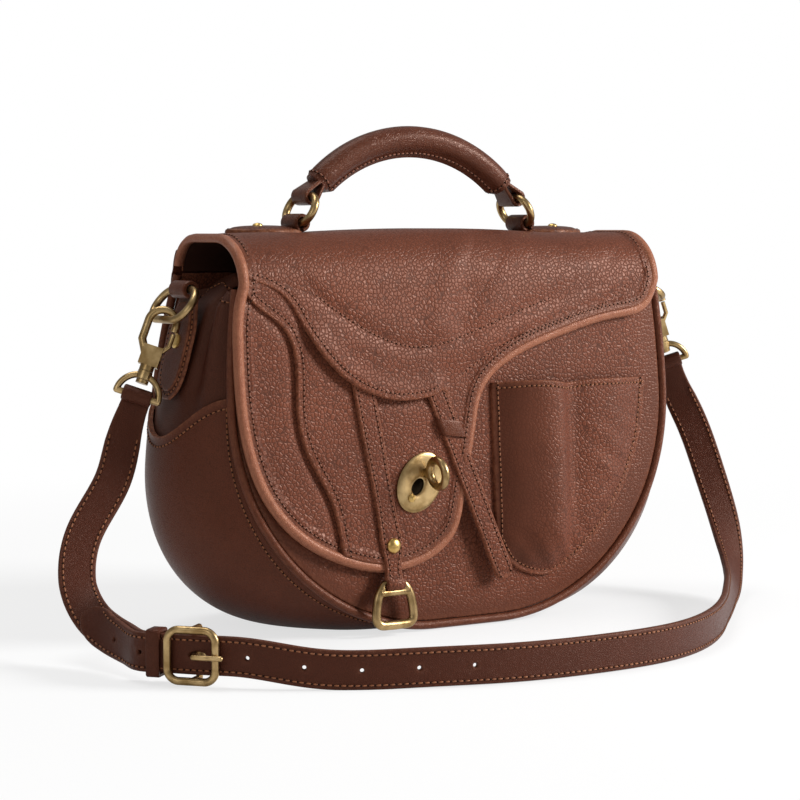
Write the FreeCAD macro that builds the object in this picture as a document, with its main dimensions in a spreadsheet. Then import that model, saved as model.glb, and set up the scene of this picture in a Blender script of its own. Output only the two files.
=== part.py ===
"""A saddle handbag: a D-shaped leather body under a sculpted flap, with a turn lock, a stirrup
ornament, a rolled carrying handle on two rings and a clip-on shoulder strap that lies in front."""
import FreeCAD, Part
import math
import os
import re

import Sketcher

V = FreeCAD.Vector

DIMENSIONS = {
    # seam line of the body: a flat base, two corner arcs and two side arcs
    "base_half": 22.0,
    "corner_radius": 124.0,
    "base_lift": 3.0,
    "side_radius": 414.0,
    "front_top": 192.0,
    "back_top": 203.0,
    "front_reach": 56.0,
    "base_depth": 125.0,
    "front_lean": 3.6,
    "back_lean": 11.9,
    "panel_leather": 2.4,
    "piping_radius": 2.4,
    "seam_gap": 0.1,
    "soft_gap": 0.3,
    "cut_overrun": 4.0,
    # gusset: the section half-way back is fuller than the seams and flat on the floor
    "belly_half": 80.0,
    "belly_radius": 90.0,
    "belly_sink": 0.6,
    "belly_side_radius": 240.0,
    "gusset_seam_front": 133.0,
    "gusset_seam_middle": 111.0,
    "gusset_seam_back": 132.0,
    "gusset_tuck": 8.0,
    "gusset_edge_tuck": 3.2,
    "gusset_top": 188.0,
    # lining and base board
    "lining_cloth": 0.8,
    "lining_inset": 12.0,
    "board_length": 86.0,
    "board_depth": 44.0,
    "board_thickness": 1.8,
    # pocket on the front
    "pocket_left": 20.0,
    "pocket_width": 110.0,
    "pocket_top": 136.0,
    "pocket_foot": 25.0,
    "pocket_bulge": 14.0,
    "pocket_swell": 8.0,
    "pocket_valley": 4.4,
    "pocket_leather": 2.0,
    # flap
    "flap_half": 146.0,
    "flap_fold": 193.0,
    "flap_gap": 2.0,
    "flap_leather": 2.0,
    "overlay_leather": 1.6,
    "rim_width": 5.0,
    "rim_height": 3.6,
    "fold_radius": 29.0,
    "hinge_setback": 27.0,
    "hinge_gap": 0.6,
    # turn lock
    "lock_side": 29.6,
    "lock_height": 88.0,
    "plate_long": 18.0,
    "plate_short": 13.5,
    "plate_tilt": 52.0,
    "plate_offset": 6.3,
    "plate_thickness": 1.8,
    "knob_stem": 3.1,
    "knob_neck": 1.9,
    "running_gap": 0.06,
    "knob_ring": 7.4,
    "knob_wire": 2.3,
    "knob_post": 2.6,
    "knob_turn": 45.0,
    "tongue_length": 12.0,
    "tongue_width": 3.4,
    "tongue_thickness": 2.6,
    "slot_width": 5.0,
    "slot_below": 7.0,
    "slot_above": 13.0,
    "receiver_thickness": 1.0,
    "receiver_border": 4.0,
    "lock_hole": 6.0,
    "plate_rivet_radius": 2.2,
    "plate_rivet_height": 1.2,
    # leather strips on the flap
    "strip_leather": 2.2,
    "stirrup_leather_width": 13.0,
    "stirrup_leather_top": 132.0,
    "stirrup_leather_top_side": 67.5,
    "stirrup_side": 53.0,
    "stirrup_bar_height": 29.0,
    "stirrup_rivet_height": 49.0,
    "stirrup_rivet_radius": 3.6,
    "stirrup_rivet_dome": 1.6,
    "girth_width": 12.0,
    "girth_top": 133.0,
    "girth_top_side": 21.0,
    "girth_foot": 32.0,
    "girth_foot_side": 20.0,
    "keeper_height": 112.0,
    "keeper_band": 9.0,
    "keeper_leather": 1.6,
    # stirrup ornament
    "stirrup_bar": 1.7,
    "stirrup_loop_play": 0.4,
    "stirrup_rod": 4.0,
    "stirrup_shoulder": 9.2,
    "stirrup_foot_half": 12.0,
    "stirrup_drop": 24.0,
    "stirrup_sole": 4.4,
    # carrying handle
    "handle_setback": 3.0,
    "handle_pivot_side": 77.2,
    "handle_pivot_rise": 6.0,
    "handle_ring_rise": 16.2,
    "handle_ring_straight": 12.8,
    "handle_wire": 2.2,
    "handle_ring_lean": 24.4,
    "handle_loop_play": 0.9,
    "handle_loop_leather": 2.0,
    "handle_loop_width": 17.0,
    "handle_arc_radius": 90.0,
    "handle_arc_half_angle": 45.0,
    "handle_apex": 54.0,
    "handle_thickness": 7.5,
    "handle_core_radius": 5.0,
    "handle_neck": 0.7,
    "tab_length": 44.0,
    "tab_half_width": 13.0,
    "tab_leather": 2.6,
    "tab_rivet_radius": 2.6,
    "tab_rivet_dome": 1.4,
    # side tabs, rings and snap hooks
    "side_tab_stand": 146.92,
    "side_tab_slope": 14.6,
    "side_tab_setback": 4.0,
    "side_tab_width": 30.0,
    "side_tab_length": 60.0,
    "side_tab_leather": 2.4,
    "side_loop_height": 190.0,
    "side_loop_width": 18.0,
    "side_loop_play": 0.5,
    "side_ring_wire": 2.1,
    "side_ring_rise": 20.0,
    "side_ring_straight": 19.0,
    "side_ring_swing_left": 37.0,
    "side_ring_swing_right": 64.0,
    "side_rivet_drop": 28.0,
    "side_rivet_radius": 4.0,
    "side_rivet_dome": 1.6,
    "hook_tilt_left": 22.0,
    "hook_tilt_right": 22.0,
    "hook_yaw": 33.0,
    "hook_wire": 2.2,
    "hook_arc_radius": 7.6,
    "hook_rise": 27.0,
    "hook_clear": 0.85,
    "hook_cheek_half": 5.4,
    "hook_cheek_height": 11.0,
    "hook_cheek_thickness": 6.4,
    "hook_collar_radius": 3.9,
    "hook_collar_height": 3.0,
    "gate_slot": 3.0,
    "gate_wire": 1.3,
    "gate_pivot_height": 9.0,
    "gate_pivot_side": 2.4,
    "gate_hub": 2.6,
    "gate_pin": 1.1,
    "gate_gap": 0.4,
    "gate_tip_gap": 1.2,
    "stem_radius": 2.2,
    "stem_head_radius": 3.4,
    "stem_head_height": 2.0,
    "barrel_radius": 4.0,
    "barrel_height": 4.6,
    "barrel_play": 0.3,
    "bail_radius": 11.6,
    "bail_wire": 1.8,
    # shoulder strap and buckle
    "strap_width": 19.5,
    "strap_leather": 3.2,
    "strap_floor_gap": 0.3,
    "strap_spread": 240.0,
    "strap_reach": 208.0,
    "strap_layer_gap": 0.5,
    "strap_loop_play": 0.4,
    "strap_loop_width": 16.0,
    "strap_loop_leather": 2.2,
    "strap_hole": 1.7,
    "strap_hole_pitch": 28.0,
    "buckle_side": 211.0,
    "buckle_forward": 126.0,
    "buckle_turn": 50.0,
    "buckle_half": 12.6,
    "buckle_wire": 2.0,
    "buckle_lift": 15.4,
    "buckle_corner": 6.0,
    "prong_radius": 1.3,
    "prong_slot": 9.0,
    "keeper_offset": 20.6,
    "strap_keeper_band": 7.0,
    "tail_length": 84.0,
}

# outlines on the front, across as shares of flap_half and up as shares of flap_fold
FLAP_EDGE_SHARES = [
    (-0.966, 1.0), (-0.985, 0.955), (-1.0, 0.829), (-0.986, 0.611), (-0.904, 0.415), (-0.753, 0.285),
    (-0.589, 0.218), (-0.37, 0.181), (-0.192, 0.207), (-0.068, 0.275), (-0.021, 0.373), (0.048, 0.601),
    (0.082, 0.684), (0.185, 0.756), (0.452, 0.834), (0.747, 0.886), (0.905, 0.918), (0.966, 1.0),
]
MID_EDGE_SHARES = [
    (-0.96, 1.0), (-0.93, 0.964), (-0.788, 0.876), (-0.747, 0.782), (-0.747, 0.632), (-0.705, 0.518),
    (-0.623, 0.404), (-0.575, 0.249), (-0.56, 0.15),
]
SEAT_EDGE_SHARES = [
    (-1.0, 1.03), (-0.945, 1.02), (-0.774, 0.959), (-0.699, 0.86), (-0.61, 0.772), (-0.486, 0.715),
    (-0.315, 0.679), (-0.178, 0.684), (-0.09, 0.7), (-0.02, 0.62), (0.1, 0.56),
]
# pocket outline, across as shares of pocket_width and up as shares of the height over its foot
POCKET_EDGE_SHARES = [
    (0.0, 0.21), (0.06, 0.1), (0.16, 0.03), (0.31, 0.0), (0.48, 0.06), (0.79, 0.36), (0.96, 0.72), (1.0, 1.0),
]
# strap routes: side as shares of strap_spread, forward of strap_reach, up of the way from the strap
# lying on its edge to the bail's bar, with the direction of the strap's width there
LEFT_ROUTE_SHARES = [
    (-0.82, 0.05, 0.669, (0.80, -0.50, -0.33)),
    (-0.91, 0.09, 0.441, (0.87, -0.42, -0.22)),
    (-0.95, 0.15, 0.2595, (0.94, -0.30, -0.05)),
    (-0.96, 0.23, 0.1401, (0.72, -0.20, 0.66)),
    (-0.957, 0.32, 0.0775, (0.25, -0.05, 0.97)),
    (-0.953, 0.42, 0.048, (0.0, 0.0, 1.0)),
]
RIGHT_ROUTE_SHARES = [
    (-0.70, 0.80, 0.0045, (0.0, 0.0, 1.0)),
    (-0.52, 0.91, 0.0, (0.0, 0.0, 1.0)),
    (-0.32, 0.98, 0.0, (0.0, 0.0, 1.0)),
    (-0.10, 1.0, 0.0, (0.0, 0.0, 1.0)),
    (0.12, 0.965, 0.0, (0.0, 0.0, 1.0)),
    (0.32, 0.84, 0.0, (0.0, 0.0, 1.0)),
    (0.50, 0.65, 0.0013, (0.0, 0.0, 1.0)),
    (0.66, 0.46, 0.0196, (-0.20, 0.12, 0.97)),
    (0.79, 0.29, 0.084, (-0.55, 0.34, 0.76)),
    (0.85, 0.18, 0.245, (-0.80, 0.48, 0.36)),
    (0.855, 0.10, 0.4815, (-0.85, 0.52, 0.08)),
    (0.83, 0.04, 0.739, (-0.84, 0.54, 0.0)),
]

AXES = {"x": "1; 0; 0", "y": "0; 1; 0", "z": "0; 0; 1"}
NODES = {}

doc = FreeCAD.newDocument("saddle_handbag")
sheet = doc.addObject("Spreadsheet::Sheet", "dims")
for row, (alias, number) in enumerate(DIMENSIONS.items(), 1):
    sheet.set("A%d" % row, alias)
    sheet.set("B%d" % row, str(number))
    sheet.setAlias("B%d" % row, alias)
doc.recompute()


def cell(text):
    """An expression written with bare aliases, with each alias tied to the sheet."""
    return re.sub(r"[a-z_]+", lambda m: "dims." + m.group() if m.group() in DIMENSIONS else m.group(), text)


def value(text):
    """The number that an expression in aliases gives now."""
    return float(sheet.evalExpression(cell(text)))


def bind(item, **texts):
    for name, text in texts.items():
        item.setExpression(name, cell(text))
    return item


def put(item, x="0", y="0", z="0", turns=()):
    """Place an object; turns are (axis, angle) pairs, the outermost first."""
    rotation = " * ".join("rotation(vector(%s); %s)" % (AXES[axis], cell(angle)) for axis, angle in turns)
    rotation = rotation or "rotation(vector(0; 0; 1); 0)"
    item.setExpression("Placement", "placement(vector(%s; %s; %s); %s)" % (cell(x), cell(y), cell(z), rotation))
    return item


def on_front(item):
    """Lean a piece drawn on the XZ plane, with -Y outwards, against the bag's front face."""
    return put(item, "0", "-front_reach", "0", [("x", "-front_lean")])


def on_back(item):
    return put(item, "0", "base_depth - front_reach", "0", [("x", "back_lean")])


def node(item, label):
    item.Label = label
    NODES[label] = item
    return item


def feature(name, shape):
    item = doc.addObject("Part::Feature", name)
    item.Shape = shape
    return item


def box(name, length, width, height):
    return bind(doc.addObject("Part::Box", name), Length=length, Width=width, Height=height)


def cylinder(name, radius, height):
    return bind(doc.addObject("Part::Cylinder", name), Radius=radius, Height=height)


def half_torus(name, radius, wire):
    ring = bind(doc.addObject("Part::Torus", name), Radius1=radius, Radius2=wire)
    ring.Angle3 = 180
    return ring


def fuse(name, pieces):
    if len(pieces) == 1:
        holder = doc.addObject("Part::Compound", name)
        holder.Links = pieces
        return holder
    union = doc.addObject("Part::MultiFuse", name)
    union.Shapes = pieces
    return union


def cut(name, base, tool):
    difference = doc.addObject("Part::Cut", name)
    difference.Base = base
    difference.Tool = tool
    return difference


# sketches


def new_body(label):
    return node(doc.addObject("PartDesign::Body", "body_" + label), label)


def new_sketch(body, plane="XZ_Plane", start="0"):
    """A sketch on one of the body's own planes; on XZ it moves outwards by start."""
    sketch = body.newObject("Sketcher::SketchObject", body.Name + "_sketch")
    origin = [item for item in body.Origin.OriginFeatures if item.Role == plane][0]
    sketch.AttachmentSupport = [(origin, "")]
    sketch.MapMode = "FlatFace"
    sketch.setExpression("AttachmentOffset.Base.z", cell(start))
    return sketch


def pin_point(sketch, geometry, end, across, up):
    """Tie one end of a line or arc to the sheet with two dimensions from the sketch's origin."""
    for kind, text in (("DistanceX", across), ("DistanceY", up)):
        if text is None:
            continue
        index = sketch.addConstraint(Sketcher.Constraint(kind, -1, 1, geometry, end, value(text)))
        name = "size_%d" % index
        sketch.renameConstraint(index, name)
        sketch.setExpression("Constraints." + name, cell(text))


def draw_polygon(sketch, corners):
    """A closed outline of straight edges through corners given as expressions."""
    places = [V(value(across), value(up), 0) for across, up in corners]
    first = sketch.GeometryCount
    count = len(corners)
    for index in range(count):
        sketch.addGeometry(Part.LineSegment(places[index], places[(index + 1) % count]), False)
    for index in range(count):
        following = first + (index + 1) % count
        sketch.addConstraint(Sketcher.Constraint("Coincident", first + index, 2, following, 1))
        pin_point(sketch, first + index, 1, *corners[index])


def draw_seam(sketch, inset, top):
    """The D-shaped seam line, drawn in by inset and ending at the height top."""
    half, lift, radius = value("base_half"), value("base_lift + " + inset), value("corner_radius - " + inset)
    side, rise = value("side_radius - " + inset), value(top)
    middle = value("base_lift + corner_radius")
    centre = value("base_half + corner_radius - side_radius")
    lean = math.asin((rise - middle) / side)
    edge = centre + side * math.cos(lean)

    def arc(across, size, first, last):
        return Part.ArcOfCircle(Part.Circle(V(across, middle, 0), V(0, 0, 1), size), first, last)

    sketch.addGeometry(Part.LineSegment(V(-half, lift, 0), V(half, lift, 0)), False)
    sketch.addGeometry(arc(half, radius, -math.pi / 2, 0), False)
    sketch.addGeometry(arc(centre, side, 0, lean), False)
    sketch.addGeometry(Part.LineSegment(V(edge, rise, 0), V(-edge, rise, 0)), False)
    sketch.addGeometry(arc(-centre, side, math.pi - lean, math.pi), False)
    sketch.addGeometry(arc(-half, radius, math.pi, math.pi * 1.5), False)
    for index in range(6):
        sketch.addConstraint(Sketcher.Constraint("Coincident", index, 2, (index + 1) % 6, 1))
    low, level = "base_lift + " + inset, "base_lift + corner_radius"
    pin_point(sketch, 0, 1, "-base_half", low)
    pin_point(sketch, 0, 2, "base_half", low)
    pin_point(sketch, 1, 3, "base_half", level)
    pin_point(sketch, 1, 2, None, level)
    pin_point(sketch, 2, 3, "base_half + corner_radius - side_radius", level)
    pin_point(sketch, 2, 2, None, top)
    pin_point(sketch, 4, 3, "side_radius - base_half - corner_radius", level)
    pin_point(sketch, 4, 1, None, top)
    pin_point(sketch, 5, 3, "-base_half", level)
    pin_point(sketch, 5, 1, None, level)


def pad(body, sketch, length):
    solid = body.newObject("PartDesign::Pad", body.Name + "_pad")
    solid.Profile = sketch
    return bind(solid, Length=length)


def pocket_through(body, sketch):
    """Cut the sketch both ways through the body."""
    opening = body.newObject("PartDesign::Pocket", body.Name + "_pocket")
    opening.Profile = sketch
    opening.Type = 1
    opening.Midplane = True
    return opening


def polygon_body(label, corners, start, thickness):
    """A flat piece on the XZ plane, thickness deep from start outwards."""
    body = new_body(label)
    sketch = new_sketch(body, start=start)
    draw_polygon(sketch, corners)
    pad(body, sketch, thickness)
    return body


def rivet(name, radius, dome, shank, shank_length):
    """A domed rivet about the Z axis: the head sits on z = 0 and the shank goes down."""
    body = doc.addObject("PartDesign::Body", name)
    sketch = new_sketch(body)
    half = "(%s) * 0.72" % dome
    draw_polygon(sketch, [
        ("0", "-(%s)" % shank_length), (shank, "-(%s)" % shank_length), (shank, "0"), (radius, "0"),
        (radius, "(%s) * 0.4" % dome), ("(%s) * 0.7" % radius, half), ("0", dome)])
    turn = body.newObject("PartDesign::Revolution", name + "_turn")
    turn.Profile = sketch
    turn.ReferenceAxis = (sketch, ["V_Axis"])
    turn.Angle = 360
    return body


# body of the bag


def seam_wire(half, radius, lift, side, top):
    """Open path down the right side, along the base and up the left, in the XZ plane."""
    middle = lift + radius
    centre = half + radius - side
    lean = math.asin((top - middle) / side)

    def at(across, size, angle):
        return V(across + size * math.cos(angle), 0, middle + size * math.sin(angle))

    right_side = [at(centre, side, lean), at(centre, side, lean / 2), at(centre, side, 0)]
    right_corner = [at(half, radius, 0), at(half, radius, -math.pi / 4), at(half, radius, -math.pi / 2)]

    def mirrored(points):
        return [V(-point.x, 0, point.z) for point in reversed(points)]

    edges = [Part.Arc(*points).toShape() for points in (right_side, right_corner)]
    edges.append(Part.LineSegment(right_corner[2], V(-half, 0, lift)).toShape())
    edges += [Part.Arc(*mirrored(points)).toShape() for points in (right_corner, right_side)]
    return Part.Wire(edges)


def gusset_section(share, fullness, sink, inset, top):
    """Sizes and place of a gusset section at a share of the way from the front seam to the back."""
    seam = [value(text) for text in ("base_half", "corner_radius", "base_lift", "side_radius")]
    belly = [value(text) for text in ("belly_half", "belly_radius", "-belly_sink", "belly_side_radius")]
    half, radius, lift, side = [a + (b - a) * fullness for a, b in zip(seam, belly)]
    if fullness == 0:
        inset += value("gusset_edge_tuck")
    if sink:
        lift = -value("belly_sink + piping_radius + seam_gap")
    sizes = (half, radius - inset, lift + inset, side - inset, top)
    front_lean, back_lean = value("front_lean"), value("back_lean")
    front = value("(panel_leather + seam_gap) / cos(front_lean) - front_reach")
    back = value("base_depth - front_reach - (panel_leather + seam_gap) / cos(back_lean)")
    place = FreeCAD.Placement(
        V(0, front + (back - front) * share, 0),
        FreeCAD.Rotation(V(1, 0, 0), -front_lean + (front_lean + back_lean) * share))
    return sizes, place


GUSSET_SHARES = [(0.0, 0.0, False), (0.24, 0.72, True), (0.52, 1.0, True), (0.76, 0.76, True), (1.0, 0.0, False)]


def seam_heights():
    front, middle, back = [value("gusset_seam_" + name) for name in ("front", "middle", "back")]
    return [front, (front + middle) / 2, middle, (middle + back) / 2, back]


def lower_gusset():
    """The band round the base and sides, flat where it stands on the floor."""
    wires = []
    outside = value("piping_radius + seam_gap")
    leather = value("panel_leather")
    for (share, fullness, sink), top in zip(GUSSET_SHARES, seam_heights()):
        sizes, place = gusset_section(share, fullness, sink, outside, top)
        inner_sizes = gusset_section(share, fullness, sink, outside + leather, top)[0]
        outer, inner = seam_wire(*sizes), seam_wire(*inner_sizes)
        ends = [(wire.Edges[0].Vertexes[0].Point, wire.Edges[-1].Vertexes[-1].Point) for wire in (outer, inner)]
        caps = [Part.LineSegment(ends[0][side], ends[1][side]).toShape() for side in (0, 1)]
        ring = Part.Wire(Part.__sortEdges__(outer.Edges + [caps[1]] + inner.Edges + [caps[0]]))
        ring.Placement = place
        wires.append(ring)
    band = Part.makeLoft(wires, True, False)
    reach = value("base_depth + front_reach")
    floor = Part.makeBox(2 * reach * 2, 2 * reach, value("cut_overrun"))
    floor.translate(V(-2 * reach, -reach, -value("cut_overrun")))
    return feature("lower_gusset_shape", band.cut(floor))


def upper_gusset(side):
    """The softer side above it, tucked inside the lower gusset's upper edge."""
    wires = []
    outside = value("piping_radius + seam_gap + panel_leather + soft_gap")
    leather = value("panel_leather")
    top = value("gusset_top")
    for (share, fullness, sink), seam in zip(GUSSET_SHARES, seam_heights()):
        corners = []
        for inset in (outside, outside + leather):
            sizes, place = gusset_section(share, fullness, sink, inset, top)
            half, radius, lift, side_radius, _ = sizes
            middle, centre = lift + radius, half + radius - side_radius

            def across(up):
                if up < middle:
                    return half + math.sqrt(radius ** 2 - (up - middle) ** 2)
                return centre + math.sqrt(side_radius ** 2 - (up - middle) ** 2)

            foot = seam - value("gusset_tuck")
            corners.append([V(side * across(up), 0, up) for up in (foot, (foot + top) / 2, top)])
        outer, inner = corners
        edges = [
            Part.Arc(*outer).toShape(), Part.LineSegment(outer[2], inner[2]).toShape(),
            Part.Arc(*reversed(inner)).toShape(), Part.LineSegment(inner[0], outer[0]).toShape()]
        ring = Part.Wire(edges)
        ring.Placement = place
        wires.append(ring)
    return feature("upper_gusset_shape", Part.makeLoft(wires, True, False))


def piping(top, depth):
    """A round cord of leather along the seam line, in the panel's plane."""
    path = seam_wire(*[value(text) for text in ("base_half", "corner_radius", "base_lift", "side_radius", top + " - piping_radius / 2")])
    path.translate(V(0, value(depth), 0))
    first = path.Edges[0]
    start = first.Vertexes[0].Point
    circle = Part.Circle(start, first.tangentAt(first.FirstParameter), value("piping_radius")).toShape()
    return feature("piping_shape", path.makePipeShell([Part.Wire([circle])], True, True))


def seam_panel(label, start, inset, top, thickness):
    body = new_body(label)
    sketch = new_sketch(body, start=start)
    draw_seam(sketch, inset, top)
    pad(body, sketch, thickness)
    return body


def lock_slot(body, border):
    """The tall slot that the lock's tongue passes, border wider all round."""
    sketch = new_sketch(body)
    left, right = "-lock_side - slot_width / 2 - " + border, "-lock_side + slot_width / 2 + " + border
    low, high = "lock_height - slot_below - " + border, "lock_height + slot_above + " + border
    draw_polygon(sketch, [(left, low), (right, low), (right, high), (left, high)])
    pocket_through(body, sketch)


def build_body():
    front = seam_panel(
        "front_panel", "-panel_leather", "(piping_radius + seam_gap)", "front_top", "panel_leather")
    lock_slot(front, "0")
    on_front(front)
    back = seam_panel("back_panel", "0", "(piping_radius + seam_gap)", "back_top", "panel_leather")
    on_back(back)
    node(lower_gusset(), "lower_gusset")
    node(upper_gusset(-1), "upper_gusset_left")
    node(upper_gusset(1), "upper_gusset_right")
    for label, top, place in (("front_piping", "front_top", "front"), ("back_piping", "back_top", "back")):
        if place == "front":
            on_front(node(piping(top, "panel_leather / 2"), label))
        else:
            on_back(node(piping(top, "-panel_leather / 2"), label))
    behind = "-panel_leather - soft_gap - lining_cloth"
    front_lining = seam_panel("front_lining", behind, "lining_inset", "front_top - lining_inset", "lining_cloth")
    lock_slot(front_lining, "receiver_border * 2")
    on_front(front_lining)
    back_lining = seam_panel(
        "back_lining", "panel_leather + soft_gap", "lining_inset", "back_top - lining_inset", "lining_cloth")
    on_back(back_lining)
    board = new_body("base_board")
    sketch = new_sketch(board, "XY_Plane", "panel_leather - belly_sink + soft_gap")
    middle = "(base_depth / 2 - front_reach)"
    draw_polygon(sketch, [
        ("-board_length / 2", middle + " - board_depth / 2"), ("board_length / 2", middle + " - board_depth / 2"),
        ("board_length / 2", middle + " + board_depth / 2"), ("-board_length / 2", middle + " + board_depth / 2")])
    pad(board, sketch, "board_thickness")


# front outlines


def smooth(points):
    curve = Part.BSplineCurve()
    curve.interpolate(points)
    return curve.toShape()


def share_points(shares):
    half, fold = value("flap_half"), value("flap_fold")
    return [V(across * half, 0, up * fold) for across, up in shares]


def inset_points(points, distance):
    """Move an open run of points to its left-hand side, seen from the front, by distance."""
    moved = []
    for index, point in enumerate(points):
        before, after = points[max(index - 1, 0)], points[min(index + 1, len(points) - 1)]
        along = (after - before).normalize()
        if index in (0, len(points) - 1):
            along = V(0, 0, math.copysign(1, along.z))
        moved.append(point + V(-along.z, 0, along.x) * distance)
    return moved


def region(points, corners):
    """A flat face inside a smooth run of points closed by straight edges through corners."""
    ring = [points[-1]] + corners + [points[0]]
    sides = [(a, b) for a, b in zip(ring, ring[1:]) if (a - b).Length > 0]
    edges = [smooth(points)] + [Part.LineSegment(a, b).toShape() for a, b in sides]
    return Part.Face(Part.Wire(edges))


def plate_of(face, start, thickness):
    """The solid between two distances from the front face, over a flat face drawn on it."""
    base = face.copy()
    base.translate(V(0, -value(start), 0))
    return base.extrude(V(0, -value(thickness), 0))


def pocket_solid(edge_inset, start, bulge, swell, valley, overrun):
    """The pocket's swelled block: a bulge, a valley and a softer swell, inside its outline."""
    left, wide = value("pocket_left") + edge_inset, value("pocket_width") - 2 * edge_inset
    foot, top = value("pocket_foot") + edge_inset, value("pocket_top")
    points = [V(left + a * wide, 0, foot + b * (top - foot)) for a, b in POCKET_EDGE_SHARES]
    top_edge = top + overrun
    outline = region(points, [V(points[-1].x, 0, top_edge), V(left, 0, top_edge)])
    deep = value("pocket_bulge") + value("cut_overrun")
    block = outline.extrude(V(0, -deep, 0))
    peak, split, crest, end = [left + wide * share for share in (0.2, 0.43, 0.72, 1.0)]

    def at(across, out):
        return V(across, -out, foot)

    edges = [
        Part.Arc(at(left, start), at(peak, bulge), at(split, valley)).toShape(),
        Part.Arc(at(split, valley), at(crest, swell), at(end, start)).toShape()]
    ring = [at(end, start), at(end, 0), at(left, 0), at(left, start)]
    edges += [Part.LineSegment(a, b).toShape() for a, b in zip(ring, ring[1:]) if (a - b).Length > 0]
    profile = Part.Face(Part.Wire(edges)).extrude(V(0, 0, top_edge - foot))
    return block.common(profile)


def build_pocket():
    leather = value("pocket_leather")
    outer = pocket_solid(0, leather, *[value(text) for text in ("pocket_bulge", "pocket_swell", "pocket_valley")], 0)
    inner = pocket_solid(
        leather, leather / 4, value("pocket_bulge - pocket_leather"), value("pocket_swell - pocket_leather"),
        value("pocket_valley - pocket_leather"), value("cut_overrun"))
    shape = feature("front_pocket_shape", outer.cut(inner))
    on_front(node(shape, "front_pocket"))


# flap


def front_placement():
    return FreeCAD.Placement(
        V(0, -value("front_reach"), 0), FreeCAD.Rotation(V(1, 0, 0), -value("front_lean")))


def arch_sizes():
    """Centres of the flap's front and back folds in Y and Z, and the top's height."""
    outside = value("flap_gap + flap_leather")
    radius = value("fold_radius")
    centre = front_placement().multVec(V(0, radius - outside, value("flap_fold")))
    top = centre.z + radius
    hinge = V(0, value("hinge_setback"), value("back_top") * math.cos(math.radians(value("back_lean"))))
    back_radius = top - hinge.z - value("hinge_gap")
    back = V(0, hinge.y - back_radius, hinge.z + value("hinge_gap"))
    return centre, back, top, back_radius, hinge


def flap_arch():
    """The flap's top: from the front fold over the flat top to the hinge seam at the back."""
    front, back, top, back_radius, hinge = arch_sizes()
    radius, leather = value("fold_radius"), value("flap_leather")
    lean = math.radians(value("front_lean"))

    def fold(centre, size, angle):
        return centre + V(0, -size * math.cos(angle), size * math.sin(angle))

    def run(front_size, back_size):
        middle = (math.pi / 2 + lean) / 2
        first = Part.Arc(*[fold(front, front_size, angle) for angle in (lean, middle, math.pi / 2)])
        last = Part.Arc(*[fold(back, back_size, angle) for angle in (math.pi / 2, math.pi * 0.75, math.pi)])
        return [first.toShape(), Part.LineSegment(first.EndPoint, last.StartPoint).toShape(), last.toShape()]

    outer, inner = run(radius, back_radius), run(radius - leather, back_radius - leather)
    starts = [edges[0].Vertexes[0].Point for edges in (outer, inner)]
    ends = [edges[-1].Vertexes[-1].Point for edges in (outer, inner)]
    caps = [Part.LineSegment(*starts).toShape(), Part.LineSegment(*ends).toShape()]
    face = Part.Face(Part.Wire(Part.__sortEdges__(outer + [caps[1]] + inner + [caps[0]])))
    edge = share_points(FLAP_EDGE_SHARES)
    face.translate(V(edge[0].x, 0, 0))
    return face.extrude(V(edge[-1].x - edge[0].x, 0, 0))


def lock_hole(radius):
    """A round cutter along the lock's axis, in the front's own frame."""
    hole = Part.makeCylinder(
        value(radius), value("front_reach"), V(-value("lock_side"), value("panel_leather"), value("lock_height")),
        V(0, -1, 0))
    return hole


def build_flap():
    edge = share_points(FLAP_EDGE_SHARES)
    drawn_in = inset_points(edge, value("rim_width"))
    field = region(drawn_in, [])
    whole = region(edge, [])
    panel = plate_of(field, "flap_gap", "flap_leather").cut(lock_hole("lock_hole"))
    panel.Placement = front_placement()
    node(feature("flap_panel_shape", panel.fuse(flap_arch())), "flap_panel")
    rim = plate_of(whole.cut(field), "flap_gap", "rim_height")
    on_front(node(feature("flap_rim_shape", rim), "flap_rim"))
    # each overlay covers the field to the right of, or above, its own edge
    far, fold = value("flap_half * 2"), value("flap_fold")
    mid_edge = share_points(MID_EDGE_SHARES)
    mid_side = region(mid_edge, [V(far, 0, mid_edge[-1].z), V(far, 0, fold)])
    seat_edge = share_points(SEAT_EDGE_SHARES)
    seat_side = region(seat_edge, [V(far, 0, seat_edge[-1].z), V(far, 0, seat_edge[0].z)])
    field_mid = plate_of(field, "flap_gap + flap_leather", "overlay_leather")
    field_seat = plate_of(field, "flap_gap + flap_leather + overlay_leather", "overlay_leather")
    mid_block = plate_of(mid_side, "0", "front_reach")
    seat_block = plate_of(seat_side, "0", "front_reach")
    middle = field_mid.common(mid_block).cut(lock_hole("lock_hole"))
    on_front(node(feature("flap_mid_shape", middle), "flap_mid_panel"))
    on_front(node(feature("flap_seat_shape", field_seat.common(mid_block).common(seat_block)), "flap_seat_panel"))
    return seat_block


STRIP_START = "flap_gap + flap_leather + overlay_leather"


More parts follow.
